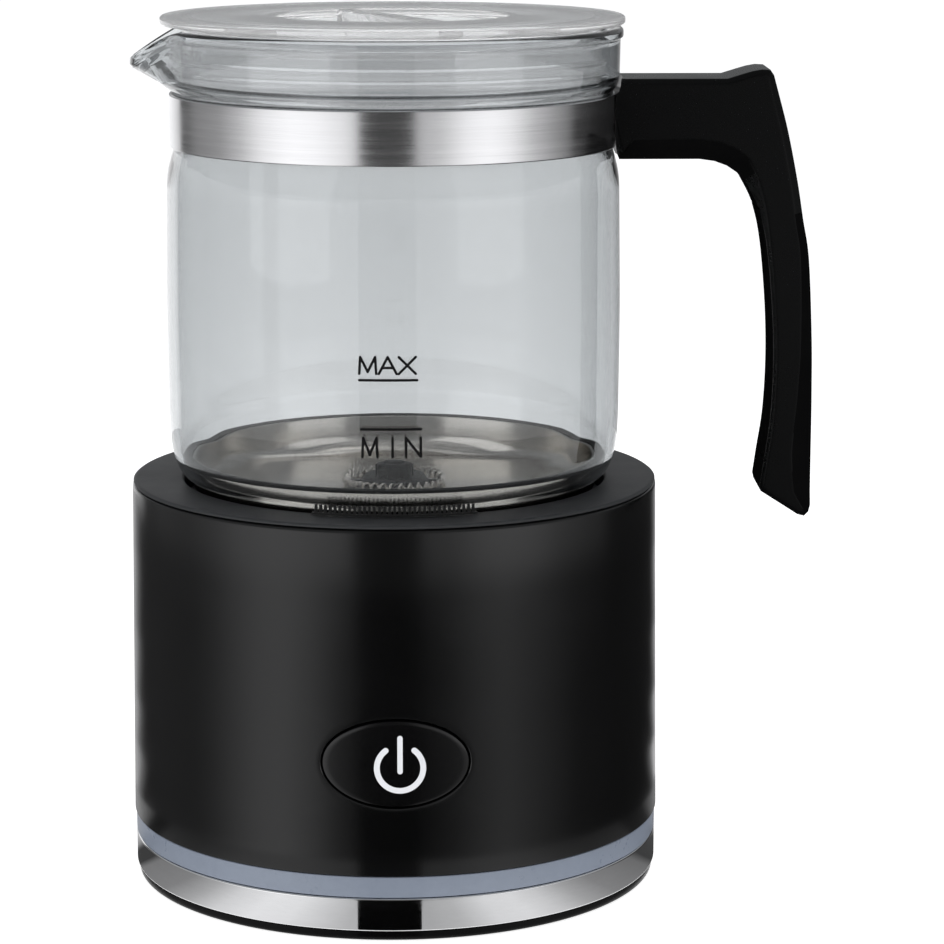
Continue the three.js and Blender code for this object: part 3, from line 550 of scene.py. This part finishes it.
def make_plate():
    plate = lathe("under_plate", [
        (0, 0), (63.9, 0, 0.5), (64.4, 0.5, 0.4), (64.4, 2.2, 0.2), (61.2, 2.2, 0.2),
        (61.0, 3.2, 0.2), (0, 3.2),
    ])
    posts = []
    tools = []
    for angle in (45, 135, 225, 315):
        spot = on_circle(SCREW_CIRCLE, angle)
        posts.append(lathe("post", [(0, 2.6), (3.6, 2.6), (3.6, 15.6), (0, 15.6)], SMALL_SIDES, spot))
        tools.append(lathe("bore", [(0, -1), (3.0, -1), (3.0, 2.4), (1.8, 2.4), (1.8, 17), (0, 17)],
                           SMALL_SIDES, spot))
    for angle in (0, 90, 180, 270):
        spot = on_circle(FOOT_CIRCLE, angle)
        tools.append(lathe("pocket", [(0, -1), (7.3, -1), (7.3, 1.6), (0, 1.6)], SMALL_SIDES, spot))
    return combined(combined(plate, posts, "UNION"), tools)


add(make_plate(), "base", ["bottom_plate"], "inner_black", "handle_black")


def make_foot(index):
    return lathe(f"foot_pad_{index + 1}", [
        (0, 0.25), (2.2, 0.25, 0.1), (2.6, 0, 0.2), (6.4, 0, 0.5), (7.0, 0.6, 0.4), (7.0, 1.5), (0, 1.5),
    ], SMALL_SIDES, on_circle(FOOT_CIRCLE, 90 * index))


def cross_screw(name, head, foot, top, radius, head_radius, spot):
    """A pan-head screw whose head faces down, with a cross recess."""
    screw = lathe(name, [
        (0, foot), (head_radius - 0.5, foot, 0.3), (head_radius, foot + 0.5, 0.3), (head_radius, head, 0.1),
        (radius, head), (radius, top - 0.8), (0, top),
    ], SMALL_SIDES, spot)
    slots = []
    for turn in (0.4, 0.4 + math.pi / 2):
        slot = block("slot", (head_radius * 1.2, 0.55, 1.6), (0, 0, 0), turn)
        slot.location = (spot[0] * MM, spot[1] * MM, foot * MM)
        bpy.context.view_layer.update()
        slots.append(slot)
    return combined(screw, slots)


for i in range(4):
    add(make_foot(i), "base", [f"rubber_foot_{i + 1}"], "rubber_black")
    screw = cross_screw(f"plate_screw_{i + 1}", 2.2, 0.5, 30.0, 1.5, 2.7,
                        on_circle(SCREW_CIRCLE, 45 + 90 * i))
    add(screw, "base", [f"base_screw_{i + 1}"], "polished_steel")


COMB = {"teeth": 33, "half_angle": 19.5, "radius": 54.6, "foot": 99.7, "height": 2.4, "steps": 48}
TOOTH = {"wide": (0.38, 0.26), "deep": (0.6, 0.4)}  # across and radially, at the foot and at the tip


def make_comb():
    """The row of fine teeth that stands on the deck in front of the jug."""
    bm = bmesh.new()
    radius = COMB["radius"]
    foot = COMB["foot"]
    span = math.radians(COMB["half_angle"] + 1)
    loops = []
    section = [
        (radius - 0.3, foot), (radius + 0.7, foot), (radius + 0.7, foot + 0.4),
        (radius + 0.6, foot + 0.5), (radius - 0.2, foot + 0.5), (radius - 0.3, foot + 0.4),
    ]
    for k in range(COMB["steps"] + 1):
        angle = -span + 2 * span * k / COMB["steps"]
        loops.append([bm.verts.new((r * math.sin(angle), -r * math.cos(angle), z)) for r, z in section])
    tube(bm, loops)
    for k in range(COMB["teeth"]):
        angle = math.radians(-COMB["half_angle"] + 2 * COMB["half_angle"] * k / (COMB["teeth"] - 1))
        tooth = bmesh.ops.create_cube(bm, size=1.0)["verts"]
        for vert in tooth:
            tip = 0 if vert.co.z < 0 else 1
            x = math.copysign(TOOTH["wide"][tip], vert.co.x)
            y = -radius + vert.co.y * TOOTH["deep"][tip] - 0.2
            z = foot + (COMB["height"] if tip else 0.2)
            vert.co = (
                x * math.cos(angle) - y * math.sin(angle), x * math.sin(angle) + y * math.cos(angle), z,
            )
    return finished("deck_comb", bm)


add(make_comb(), "base", ["vent_comb"], "inner_black")


# ------------------------------------------------------------------ base: button and its symbol
def make_button():
    bm = bmesh.new()
    count = 112
    a = BUTTON["half_width"]
    b = BUTTON["half_height"]

    def ring(inset, scale, depth, flat_y=None):
        loop = []
        for k in range(count):
            t = 2 * math.pi * k / count
            x = (a - inset) * scale * math.cos(t)
            z = BUTTON["z"] + (b - inset) * scale * math.sin(t)
            radius = BASE["low_radius"] - BUTTON["sunk"] - depth
            y = flat_y if flat_y is not None else -math.sqrt(radius * radius - x * x)
            loop.append(bm.verts.new((x, y, z)))
        return loop

    loops = [ring(0, 1, 0, -BUTTON["back"])]
    loops += [ring(inset, 1, depth) for inset, depth in ((0, 0.9), (0.05, 0.45), (0.2, 0.12), (0.5, 0.0))]
    loops += [ring(0.5, s, 0.0) for s in (0.93, 0.85, 0.75, 0.62, 0.48, 0.33, 0.18)]
    for first, second in zip(loops, loops[1:]):
        skin(bm, first, second)
    peak = BASE["low_radius"] - BUTTON["sunk"]
    skin(bm, loops[-1], [bm.verts.new((0, -peak, BUTTON["z"]))])
    bm.faces.new(loops[0])
    return finished("power_key", bm)


def make_symbol():
    """The power symbol: an open ring and a bar, with round ends."""
    bm = bmesh.new()
    peak = BASE["low_radius"] - BUTTON["sunk"]
    place = on_round(lambda z: peak)
    arc = []
    for k in range(41):
        t = math.radians(90 + ICON["opening"] + (360 - 2 * ICON["opening"]) * k / 40)
        arc.append((ICON["x"] + ICON["radius"] * math.cos(t), ICON["z"] + ICON["radius"] * math.sin(t)))
    ribbon(bm, arc, ICON["half_stroke"], place, ICON["proud"], ICON["deep"])
    bar = [(ICON["x"], ICON["bar_foot"] + ICON["bar"] * k / 6) for k in range(7)]
    ribbon(bm, bar, ICON["bar_half"], place, ICON["proud"], ICON["deep"])
    return finished("power_symbol", bm)


add(make_button(), "button", ["power_button"], "gloss_black")
add(make_symbol(), "button", ["icon_light_guide"], "white_plastic")


# ------------------------------------------------------------------ jug
CUP = [
    (0, 95.0), (47.4, 95.0, 1.0), (48.8, 95.6, 0.6), (49.4, 97.2, 0.8), (49.6, 99.4, 0.8),
    (49.6, 105.3, 0.2), (48.7, 105.3, 0.2), (48.3, 99.0, 1.6), (46.3, 97.0, 1.4), (0, 97.0),
]
GLASS = [
    (50.0, 99.9), (51.6, 100.2, 0.7), (53.2, 102.3, 1.2), (54.3, 105.5, 1.5), (54.9, 109.4, 2.0),
    (55.2, 114.9, 3.0), (55.45, 142.0, 8.0), (55.0, 174.0, 4.0), (53.2, 180.6, 1.4), (53.2, 193.7, 0.8),
    (54.9, 196.1, 1.2), (55.1, 206.6, 0.4), (55.8, 207.1, 0.3), (55.8, 208.7, 0.6), (55.2, 209.3, 0.4),
    (53.0, 209.3, 0.8), (52.4, 206.3, 1.0), (52.4, 197.0, 1.2), (51.3, 192.7, 1.2), (51.3, 181.6, 1.2),
    (52.9, 174.6, 3.0), (53.3, 142.0, 8.0), (53.1, 112.0, 3.0), (52.7, 107.5, 1.5), (52.2, 104.9, 1.0),
    (51.2, 102.6, 0.8), (50.0, 101.3, 0.3),
]


def pull_spout(obj):
    """Draws the glass rim outwards and down into a pouring lip that points to -X. The powers set how
    late the wall leaves the round."""
    for vert in obj.data.vertices:
        x, y, z = vert.co / MM
        away = abs(math.degrees(math.atan2(y, -x)))
        if z <= SPOUT["foot"] or away >= SPOUT["half_angle"]:
            continue
        side = math.cos(math.radians(90 * away / SPOUT["half_angle"])) ** 2
        up = min(1.0, (z - SPOUT["foot"]) / (SPOUT["lip"] - SPOUT["foot"]))
        radius = math.hypot(x, y)
        grow = (radius + SPOUT["reach"] * side * up ** 1.1) / radius
        vert.co = Vector((x * grow, y * grow, z - SPOUT["drop"] * side * up ** 1.5)) * MM
    return shade(obj)


def unshadowed(obj):
    """A clear piece that lets the soft light through, as thin glass does."""
    obj.visible_shadow = False
    return obj


add(unshadowed(pull_spout(lathe("glass_body", GLASS, 288))), "jug", ["jug_glass"], "clear_glass")
add(lathe("steel_cup", CUP), "jug", ["heater_cup"], "polished_steel")
add(lathe("cup_gasket", [
    (49.65, 104.8), (52.05, 104.8, 0.2), (52.15, 105.1, 0.1), (52.1, 105.5, 0.2), (49.65, 105.5),
]), "jug", ["jug_seal"], "rubber_black")
add(lathe("neck_band", [
    (53.35, 180.8), (54.0, 180.8, 0.15), (54.15, 181.0, 0.1), (54.15, 193.3, 0.1), (54.0, 193.5, 0.15),
    (53.35, 193.5),
]), "jug", ["steel_band"], "brushed_band")


# The handle's outline, clockwise seen from the front, as (X, Z, width of the bevel beside the flat side).
ARM_FOOT = [(50.5, 177.7, 5.0), (58.0, 177.7, 5.0), (66.0, 177.7, 5.0), (74.0, 177.7, 5.0)]
ARM_CORNER = [(77.6, 177.2, 5.0), (80.6, 176.1, 4.8), (83.0, 174.5, 4.4), (84.8, 172.6, 4.0)]
GRIP_INNER = [
    (84.8, 172.6, 3.4), (88.2, 166.0, 1.8), (90.2, 158.0, 1.0), (91.5, 147.0, 0.8), (92.3, 135.0, 0.8),
    (92.4, 124.0, 0.8), (91.8, 113.0, 0.8), (90.5, 104.0, 0.8), (89.6, 97.6, 0.8),
]
TIP = [(89.9, 96.2, 1.1), (92.3, 94.65, 1.0), (95.5, 92.6, 1.0), (99.0, 90.35, 1.0), (100.7, 89.9, 1.2),
       (101.8, 90.9, 1.5), (102.3, 92.5, 2.4)]
GRIP_OUTER = [
    (102.3, 96.0, 4.2), (102.3, 106.0, 5.0), (102.3, 118.8, 3.8), (102.0, 133.6, 2.8), (100.9, 153.3, 2.1),
    (99.3, 163.0, 1.9), (97.7, 172.7, 1.8), (95.3, 184.3, 1.7), (93.0, 193.0, 1.6),
]
THUMB = [(91.6, 198.0, 1.3), (90.7, 199.3, 1.2), (88.6, 199.4, 1.1), (86.4, 199.0, 1.1), (84.0, 198.3, 1.1),
         (80.4, 197.2, 1.1)]
ARM_TOP = [(76.0, 197.2, 1.1), (68.0, 197.2, 1.1), (60.0, 197.2, 1.1), (50.5, 197.2, 1.1)]


def outward(points, closed=True):
    """Unit normals that point out of a loop that runs clockwise seen from the front."""
    normals = []
    count = len(points)
    for i in range(count):
        after = points[(i + 1) % count] if closed else points[min(i + 1, count - 1)]
        before = points[i - 1] if closed else points[max(i - 1, 0)]
        along = Vector((after[0] - before[0], after[1] - before[1])).normalized()
        normals.append(Vector((along.y, -along.x)))
    return normals


def handle_outline():
    grip = catmull(GRIP_INNER, 5) + TIP + catmull(GRIP_OUTER, 5)
    return ARM_FOOT + ARM_CORNER[:-1] + grip + THUMB + ARM_TOP


def make_handle():
    bm = bmesh.new()
    outline = handle_outline()
    normals = outward(outline)
    stacks = []
    for (x, z, width), normal in zip(outline, normals):
        depth = min(2.6, max(0.8, 0.75 * width))
        bevel = soften([(width + 0.7, 0), (width, 0, 0.35), (0, depth, 0.5), (0, depth + 0.8)], steps=3)
        front = [(inset, below - HANDLE_HALF) for inset, below in bevel]
        back = [(inset, -y) for inset, y in reversed(front)]
        stack = []
        for inset, y in front + back:
            stack.append(bm.verts.new((x - normal.x * inset, y, z - normal.y * inset)))
        stacks.append(stack)
    loops = [list(loop) for loop in zip(*stacks)]
    tube(bm, loops)
    return finished("handle_body", bm, math.radians(24))


def rail(name, points, section):
    """A bar along the grip's inner face. section is a loop of (Y, depth below the face)."""
    bm = bmesh.new()
    loops = []
    for (x, z, _), normal in zip(points, outward(points, closed=False)):
        loops.append([
            bm.verts.new((x - normal.x * depth, y, z - normal.y * depth)) for y, depth in section
        ])
    tube(bm, loops)
    return finished(name, bm)


def make_grip():
    """The handle's shell and the thin strip set into the inner face of its grip."""
    face = GRIP_INNER[1:-1]
    half = LINER_HALF + 0.3
    shell = make_handle()
    around = lathe("jug_side", [
        (0, 165), (55.4, 165), (55.4, 176), (54.6, 180), (54.45, 181), (54.45, 193.6),
        (55.2, 194.2), (55.6, 196), (55.6, 205), (0, 205),
    ])
    step = rail("step", catmull(face, 6), [(-half, -1.5), (half, -1.5), (half, 1.5), (-half, 1.5)])
    slot = block("slot", (22.3, 7.4, 6.2), (61.15, 0, 187.2))
    tools = [step, around, slot]
    for x in ARM_SCREWS:
        tools.append(lathe("bore", [
            (0, 175), (3.1, 175), (3.1, 181.5), (1.6, 181.5), (1.6, 195.4), (0, 195.4),
        ], SMALL_SIDES, (x, 0)))
    combined(shell, tools)
    right = [(LINER_HALF - 0.5, 0.02), (LINER_HALF - 0.15, 0.15), (LINER_HALF, 0.5), (LINER_HALF, 1.2)]
    left = [(-y, depth) for y, depth in reversed(right)]
    return shell, rail("grip_strip", catmull(face, 12)[1:-1], left + right)


def darken_grazing(shell):
    """Gives the look without a sheen to the faces that the front camera sees edge-on: the inside of the
    grip, its outside below the thumb, and the underside."""
    shell.data.materials.append(FINISH["grip_black"])
    for face in shell.data.polygons:
        normal = face.normal
        inside = normal.x < -0.3 and abs(normal.y) < 0.3 and face.center.x > 80.0 * MM
        outside = normal.x > 0.25 and face.center.z < 165.0 * MM
        if inside or outside or normal.z < -0.25:
            face.material_index = 1


grip_shell, grip_strip = make_grip()
add(grip_shell, "jug", ["handle_shell"], "satin_black", "handle_black")
add(grip_strip, "jug", ["handle_liner"], "gloss_black", "grip_black")
darken_grazing(grip_shell)
for i, screw_x in enumerate(ARM_SCREWS):
    screw = cross_screw(f"arm_screw_{i + 1}", 181.2, 179.2, 194.6, 1.3, 2.6, (screw_x, 0))
    add(screw, "jug", [f"handle_screw_{i + 1}"], "polished_steel")


# ------------------------------------------------------------------ fill marks on the glass
LETTERS = {
    "M": [[(0, 0), (0.06, 1), (0.5, 0.12), (0.94, 1), (1, 0)]],
    "A": [[(0, 0), (0.5, 1), (1, 0)], [(0.2, 0.36), (0.8, 0.36)]],
    "X": [[(0, 0), (1, 1)], [(0, 1), (1, 0)]],
    "I": [[(0.5, 0), (0.5, 1)]],
    "N": [[(0, 0), (0, 1), (1, 0), (1, 1)]],
}
# The word, each letter's left edge and width, the foot and height of the word, the line's ends and its Z.
MARKS = [
    ("MAX", [(-8.0, 3.9), (-3.5, 4.1), (1.1, 3.9)], 133.3, 3.9, (-8.0, 5.3), 131.8),
    ("MIN", [(-7.4, 3.5), (-0.9, 1.0), (2.7, 3.4)], 113.8, 4.5, (-7.7, 6.2), 120.3),
]
MARK_STROKE = {"half": 0.30, "proud": 0.05, "deep": 0.02}
MARK_WALL = {"radius": 55.2, "foot": 114.9, "flare": 0.25, "rise": 27.1}  # the glass behind the marks


def resampled(path, spacing=0.5):
    """The path with a point every half millimetre or so, so that a stroke follows the round glass."""
    run = []
    for start, end in zip(path, path[1:]):
        steps = max(1, round(math.dist(start, end) / spacing))
        for k in range(steps):
            t = k / steps
            run.append((start[0] + (end[0] - start[0]) * t, start[1] + (end[1] - start[1]) * t))
    run.append(path[-1])
    return run


def make_marks():
    """Generic fill marks: a line and a word at the highest and the lowest milk level."""
    bm = bmesh.new()

    def radius_at(z):
        return MARK_WALL["radius"] + MARK_WALL["flare"] * (z - MARK_WALL["foot"]) / MARK_WALL["rise"]

    def draw(path):
        ribbon(bm, resampled(path), MARK_STROKE["half"], on_round(radius_at), MARK_STROKE["proud"],
               MARK_STROKE["deep"])

    for word, columns, foot, height, span, line_z in MARKS:
        draw([(span[0], line_z), (span[1], line_z)])
        for letter, (left, width) in zip(word, columns):
            for stroke in LETTERS[letter]:
                for ends in zip(stroke, stroke[1:]):
                    draw([(left + width * u, foot + height * v) for u, v in ends])
    return finished("fill_marks", bm)


add(make_marks(), "jug", [], "gloss_black", "mark_ink")


# ------------------------------------------------------------------ whisk
SPRING = {"turns": 34, "steps": 14, "radius": 12.0, "coil": 0.72, "wire": 0.33, "z": 98.5}


def make_hub():
    hub = lathe("whisk_body", [
        (0, 97.6), (8.4, 97.6, 0.3), (8.4, 98.9, 0.3), (4.5, 99.3, 0.4), (4.3, 99.8, 0.3),
        (4.3, 102.4, 0.5), (2.7, 102.45, 0.1), (2.6, 103.1, 0.3), (0, 103.1),
    ], 96)
    arms = [block("arm", (23.4, 2.0, 0.9), (0, 0, 98.25), turn) for turn in (0.0, math.pi / 2)]
    ribs = [block("rib", (9.4, 1.0, 3.0), (0, 0, 100.6), math.pi * k / 3) for k in range(3)]
    bore = lathe("bore", [(0, 90), (1.5, 90), (1.5, 101.8), (0, 101.8)], SMALL_SIDES)
    return combined(combined(hub, arms + ribs, "UNION"), [bore])


def make_spring():
    """A fine wire spring bent into a ring round the whisk's hub."""
    curve = bpy.data.curves.new("whisk_spring", "CURVE")
    curve.dimensions = "3D"
    curve.bevel_depth = SPRING["wire"] * MM
    curve.bevel_resolution = 3
    spline = curve.splines.new("POLY")
    count = SPRING["turns"] * SPRING["steps"]
    spline.points.add(count - 1)
    for i in range(count):
        along = 2 * math.pi * i / count
        round_coil = along * SPRING["turns"]
        radius = SPRING["radius"] + SPRING["coil"] * math.cos(round_coil)
        z = SPRING["z"] + SPRING["coil"] * math.sin(round_coil)
        spline.points[i].co = (radius * math.cos(along) * MM, radius * math.sin(along) * MM, z * MM, 1.0)
    spline.use_cyclic_u = True
    spring = bpy.data.objects.new("whisk_spring", curve)
    bpy.context.scene.collection.objects.link(spring)
    return spring


add(make_hub(), "whisk", ["whisk_hub"], "inner_black")
add(make_spring(), "whisk", ["whisk_coil"], "polished_steel")
add(lathe("whisk_axle", [
    (0, 97.05), (1.2, 97.05), (1.2, 101.2, 0.2), (1.0, 101.4, 0.1), (0, 101.4),
], SMALL_SIDES), "jug", ["whisk_pin"], "polished_steel")


# ------------------------------------------------------------------ lid
LID = [
    (0, 207.0), (26.8, 207.0, 0.8), (28.0, 208.2, 0.6), (28.2, 211.7, 0.3), (28.6, 212.1, 0.3),
    (55.7, 212.1, 0.4), (56.2, 211.6, 0.4), (56.2, 210.5, 0.3), (55.8, 210.1, 0.3),
    (51.8, 210.1, 0.5), (50.6, 209.1, 0.5), (50.6, 196.8, 0.4), (48.8, 196.8, 0.4),
    (48.8, 209.5, 0.4), (48.2, 210.1, 0.4), (30.2, 210.1, 0.4), (29.8, 205.4, 0.5),
    (28.2, 205.0, 0.5), (0, 205.0),
]


def make_lid():
    """The plug lid, with the bar across its recess that fingers pinch."""
    lid = lathe("lid_body", LID)
    bar = block("bar", (57.6, 5.2, 5.5), (0, 0, 209.15), math.radians(-66))
    return combined(lid, [bar], "UNION")


add(unshadowed(make_lid()), "lid", ["lid_cover"], "clear_plastic")
add(unshadowed(lathe("lid_gasket", [
    (50.65, 198.6), (51.35, 198.6, 0.2), (52.0, 199.2, 0.3), (51.35, 200.0, 0.3), (51.35, 201.4, 0.3),
    (52.0, 202.0, 0.3), (51.35, 202.8, 0.2), (50.65, 202.8),
])), "lid", ["lid_seal"], "clear_plastic")


# ------------------------------------------------------------------ carried-over nodes
CARRIED = {
    "rubber_black": ["cord_inlet"],
    "circuit_board": ["led_ring_board", "control_board", "switch_board"],
    "aluminium": ["heat_sink", "drive_motor"],
    "gloss_black": ["filter_capacitor"],
    "copper": ["choke_coil", "induction_coil"],
    "inner_black": ["button_guide", "tact_switch", "coil_carrier", "magnet_carrier"],
    "polished_steel": ["motor_bracket", "motor_shaft", "band_bracket"],
    "white_plastic": ["temperature_sensor", "switch_plunger"],
    "ferrite": ["ferrite_bar_1", "ferrite_bar_2", "ferrite_bar_3", "ferrite_bar_4", "drive_magnet_1",
                "drive_magnet_2"],
}
for look, names in CARRIED.items():
    for name in names:
        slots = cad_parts[name].data.materials
        slots.clear()
        slots.append(FINISH[look])


# ------------------------------------------------------------------ studio
def plain(name, colour, rough=0.9, glow=0.0):
    made = bpy.data.materials.new(name)
    made.use_nodes = True
    fill(made.node_tree.nodes["Principled BSDF"], Base_Color=(*colour, 1.0), Roughness=rough,
         Specular_IOR_Level=0.0, Emission_Color=(1.0, 1.0, 1.0, 1.0), Emission_Strength=glow)
    return made


# Brightness of the studio by the angle round the object, as (angle, brightness), for the wall, the floor
# and the floor close to the object: soft light left and right of the front, a pale back, and dark gaps.
WALL_LIGHT = [
    (-180, 0.80), (-160, 0.70), (-144, 0.52), (-141, 0.05), (-130, 0.10), (-122, 0.17),
    (-100, 0.22), (-84, 0.40), (-70, 0.70), (-54, 0.86), (-40, 0.82), (-24, 0.66), (-17, 0.55),
    (10, 0.38), (24, 0.44), (38, 0.74), (50, 0.82), (62, 0.72), (76, 0.41), (92, 0.23),
    (102, 0.15), (108, 0.03), (158, 0.02), (168, 0.20), (180, 0.60),
]
FLOOR_LIGHT = [
    (-180, 0.80), (-166, 0.62), (-158, 0.30), (-148, 0.04), (-120, 0.10), (-96, 0.14),
    (-84, 0.26), (-72, 0.54), (-60, 0.86), (-48, 0.96), (-36, 0.68), (-24, 0.24), (-12, 0.05),
    (12, 0.03), (24, 0.13), (36, 0.34), (48, 0.47), (60, 0.31), (72, 0.18), (84, 0.07),
    (110, 0.03), (156, 0.02), (164, 0.25), (172, 0.8), (180, 0.9),
]
NEAR_LIGHT = [
    (-180, 0.70), (-162, 0.50), (-152, 0.30), (-146, 0.05), (-132, 0.05), (-126, 0.20),
    (-100, 0.24), (-84, 0.42), (-70, 0.70), (-54, 0.86), (-40, 0.82), (-24, 0.60), (-17, 0.50),
    (12, 0.42), (24, 0.50), (38, 0.74), (50, 0.78), (62, 0.64), (76, 0.40), (92, 0.24),
    (124, 0.16), (132, 0.05), (156, 0.06), (168, 0.28), (180, 0.70),
]


FLOOR = {"radius": 9.0, "drop": 0.0002, "mat_lift": 0.0002, "strip_lift": 0.0003}


def surround(name, stops, squeeze, strength):
    """Light that varies with the angle round the object. squeeze draws the pattern towards the front."""
    made = bpy.data.materials.new(name)
    made.use_nodes = True
    tree = made.node_tree
    tree.nodes.clear()
    coords = tree.nodes.new("ShaderNodeTexCoord")
    turned = node(tree, "ShaderNodeMapping", Rotation=(0, 0, math.pi / 2))
    gradient = tree.nodes.new("ShaderNodeTexGradient")
    gradient.gradient_type = "RADIAL"
    ramp = tree.nodes.new("ShaderNodeValToRGB")
    glow = node(tree, "ShaderNodeEmission", Strength=strength)
    out = tree.nodes.new("ShaderNodeOutputMaterial")
    marks = ramp.color_ramp.elements
    marks[1].position = 1.0
    for angle, _ in stops[1:-1]:
        marks.new(0.5 + angle * squeeze / 360)
    for mark, (_, value) in zip(marks, stops):
        mark.color = (value, value, value * 1.01, 1.0)
    tree.links.new(coords.outputs["Object"], turned.inputs["Vector"])
    tree.links.new(turned.outputs["Vector"], gradient.inputs["Vector"])
    tree.links.new(gradient.outputs["Fac"], ramp.inputs["Fac"])
    tree.links.new(ramp.outputs["Color"], glow.inputs["Color"])
    tree.links.new(glow.outputs["Emission"], out.inputs["Surface"])
    return made


def stage_mesh(name, corners, faces, look):
    mesh = bpy.data.meshes.new(name)
    mesh.from_pydata(corners, [], faces)
    made = bpy.data.objects.new(name, mesh)
    made.data.materials.append(look)
    bpy.context.scene.collection.objects.link(made)
    return made


def for_reflections(made):
    """A studio card that only mirror-like reflections see."""
    made.visible_camera = False
    made.visible_diffuse = False
    made.visible_shadow = False
    made.visible_transmission = False
    return made


def floor():
    """A plain pale floor just under the feet, in metres."""
    count = 64
    corners = []
    for k in range(count):
        turn = 2 * math.pi * k / count
        corners.append((FLOOR["radius"] * math.cos(turn), FLOOR["radius"] * math.sin(turn), -FLOOR["drop"]))
    look = plain("floor_pale", (0.80, 0.80, 0.80), glow=0.80)
    return stage_mesh("floor", corners, [list(range(count))], look)


def band_round(name, start, end, look):
    """A stage surface between two circles, given as (radius, height) in metres."""
    count = 120
    corners = []
    for radius, height in (start, end):
        for k in range(count):
            turn = 2 * math.pi * k / count
            corners.append((radius * math.cos(turn), radius * math.sin(turn), height))
    faces = [(k, (k + 1) % count, count + (k + 1) % count, count + k) for k in range(count)]
    return for_reflections(stage_mesh(name, corners, faces, look))


def card(name, start, end, distance, low, high, look):
    """An upright card between two angles round the object."""
    corners = []
    for angle, height in ((start, low), (end, low), (end, high), (start, high)):
        turn = math.radians(angle)
        corners.append((distance * math.sin(turn), -distance * math.cos(turn), height))
    return for_reflections(stage_mesh(name, corners, [[0, 1, 2, 3]], look))


def mirrored_strip(name, start, end, reach, look):
    """A strip on the floor whose mirror image in the bright ring has upright edges at these angles."""
    ring = 0.066
    corners = []
    for angle, distance in ((start, 0.0), (end, 0.0), (end, reach), (start, reach)):
        turn = math.radians(angle)
        x = ring * math.sin(turn) + distance * math.sin(2 * turn)
        y = -ring * math.cos(turn) - distance * math.cos(2 * turn)
        corners.append((x, y, FLOOR["strip_lift"]))
    return for_reflections(stage_mesh(name, corners, [[0, 1, 2, 3]], look))


MIDDLE = Vector((0, 0, 0.1))  # of the object, in metres


def panel(name, angle, distance, height, size, radiance):
    """A soft light panel that faces the middle of the object."""
    light = bpy.data.lights.new(name, "AREA")
    light.shape = "RECTANGLE"
    light.size = size[0]
    light.size_y = size[1]
    light.energy = radiance * math.pi * size[0] * size[1]
    made = bpy.data.objects.new(name, light)
    bpy.context.scene.collection.objects.link(made)
    turn = math.radians(angle)
    made.location = (distance * math.sin(turn), -distance * math.cos(turn), height)
    aim = MIDDLE - made.location
    made.rotation_euler = aim.to_track_quat("-Z", "Y").to_euler()
    made.visible_camera = False
    made.visible_glossy = False
    return made


# Rings of the floor as (inner radius, outer radius, pattern, squeeze, strength).
MATS = [
    (0.0655, 0.11, NEAR_LIGHT, 0.66, 1.0),
    (0.11, 0.15, FLOOR_LIGHT, 0.76, 1.2),
    (0.15, 0.20, FLOOR_LIGHT, 0.83, 1.2),
    (0.20, 0.28, FLOOR_LIGHT, 0.88, 1.2),
    (0.28, 0.40, FLOOR_LIGHT, 0.915, 1.2),
    (0.40, 0.58, FLOOR_LIGHT, 0.935, 1.2),
    (0.58, 0.75, WALL_LIGHT, 0.95, 1.66),
]
WALL = {"distance": 0.75, "height": 0.215, "squeeze": 0.955, "strength": 1.66}
# Soft panels as (name, angle, distance, height, size, radiance).
PANELS = [
    ("panel_left", -54, 0.80, 0.40, (0.75, 0.75), 1.5),
    ("panel_right", 50, 0.80, 0.40, (0.60, 0.75), 1.2),
    ("panel_top", 150, 0.35, 0.95, (0.9, 0.7), 1.6),
]
# The camera fitted to the photograph: its place in metres, its tilt down and its turn aside in radians.
CAMERA = {"place": (0.0, -0.8417, 0.2630), "down": 0.1918, "aside": -0.0228, "lens": 132.09, "sensor": 36.0}
BLACK = (0.002, 0.002, 0.002)

dark = plain("card_dark", BLACK)
floor()
wall_look = surround("wall_light", WALL_LIGHT, WALL["squeeze"], WALL["strength"])
band_round("wall_reflected", (WALL["distance"], 0.0), (WALL["distance"], WALL["height"]), wall_look)
for i, (inner, outer, stops, squeeze, strength) in enumerate(MATS):
    look = surround(f"mat_light_{i + 1}", stops, squeeze, strength)
    band_round(f"mat_reflected_{i + 1}", (inner, FLOOR["mat_lift"]), (outer, FLOOR["mat_lift"]), look)
card("card_front", -16.5, 10.5, 0.62, 0.0, 0.6, plain("card_dim", BLACK, glow=0.065))
mirrored_strip("strip_front", -8.2, 5.4, 0.5, dark)
for settings in PANELS:
    panel(*settings)

world = bpy.data.worlds.new("studio")
world.use_nodes = True
fill(world.node_tree.nodes["Background"], Color=(0.88, 0.90, 0.92, 1.0), Strength=0.36)
bpy.context.scene.world = world
bpy.context.scene.view_settings.view_transform = "Standard"

camera_data = bpy.data.cameras.new("camera")
camera_data.sensor_width = CAMERA["sensor"]
camera_data.lens = CAMERA["lens"]
camera = bpy.data.objects.new("camera", camera_data)
bpy.context.scene.collection.objects.link(camera)
camera.location = CAMERA["place"]
camera.rotation_euler = (math.pi / 2 - CAMERA["down"], 0.0, CAMERA["aside"])
bpy.context.scene.camera = camera
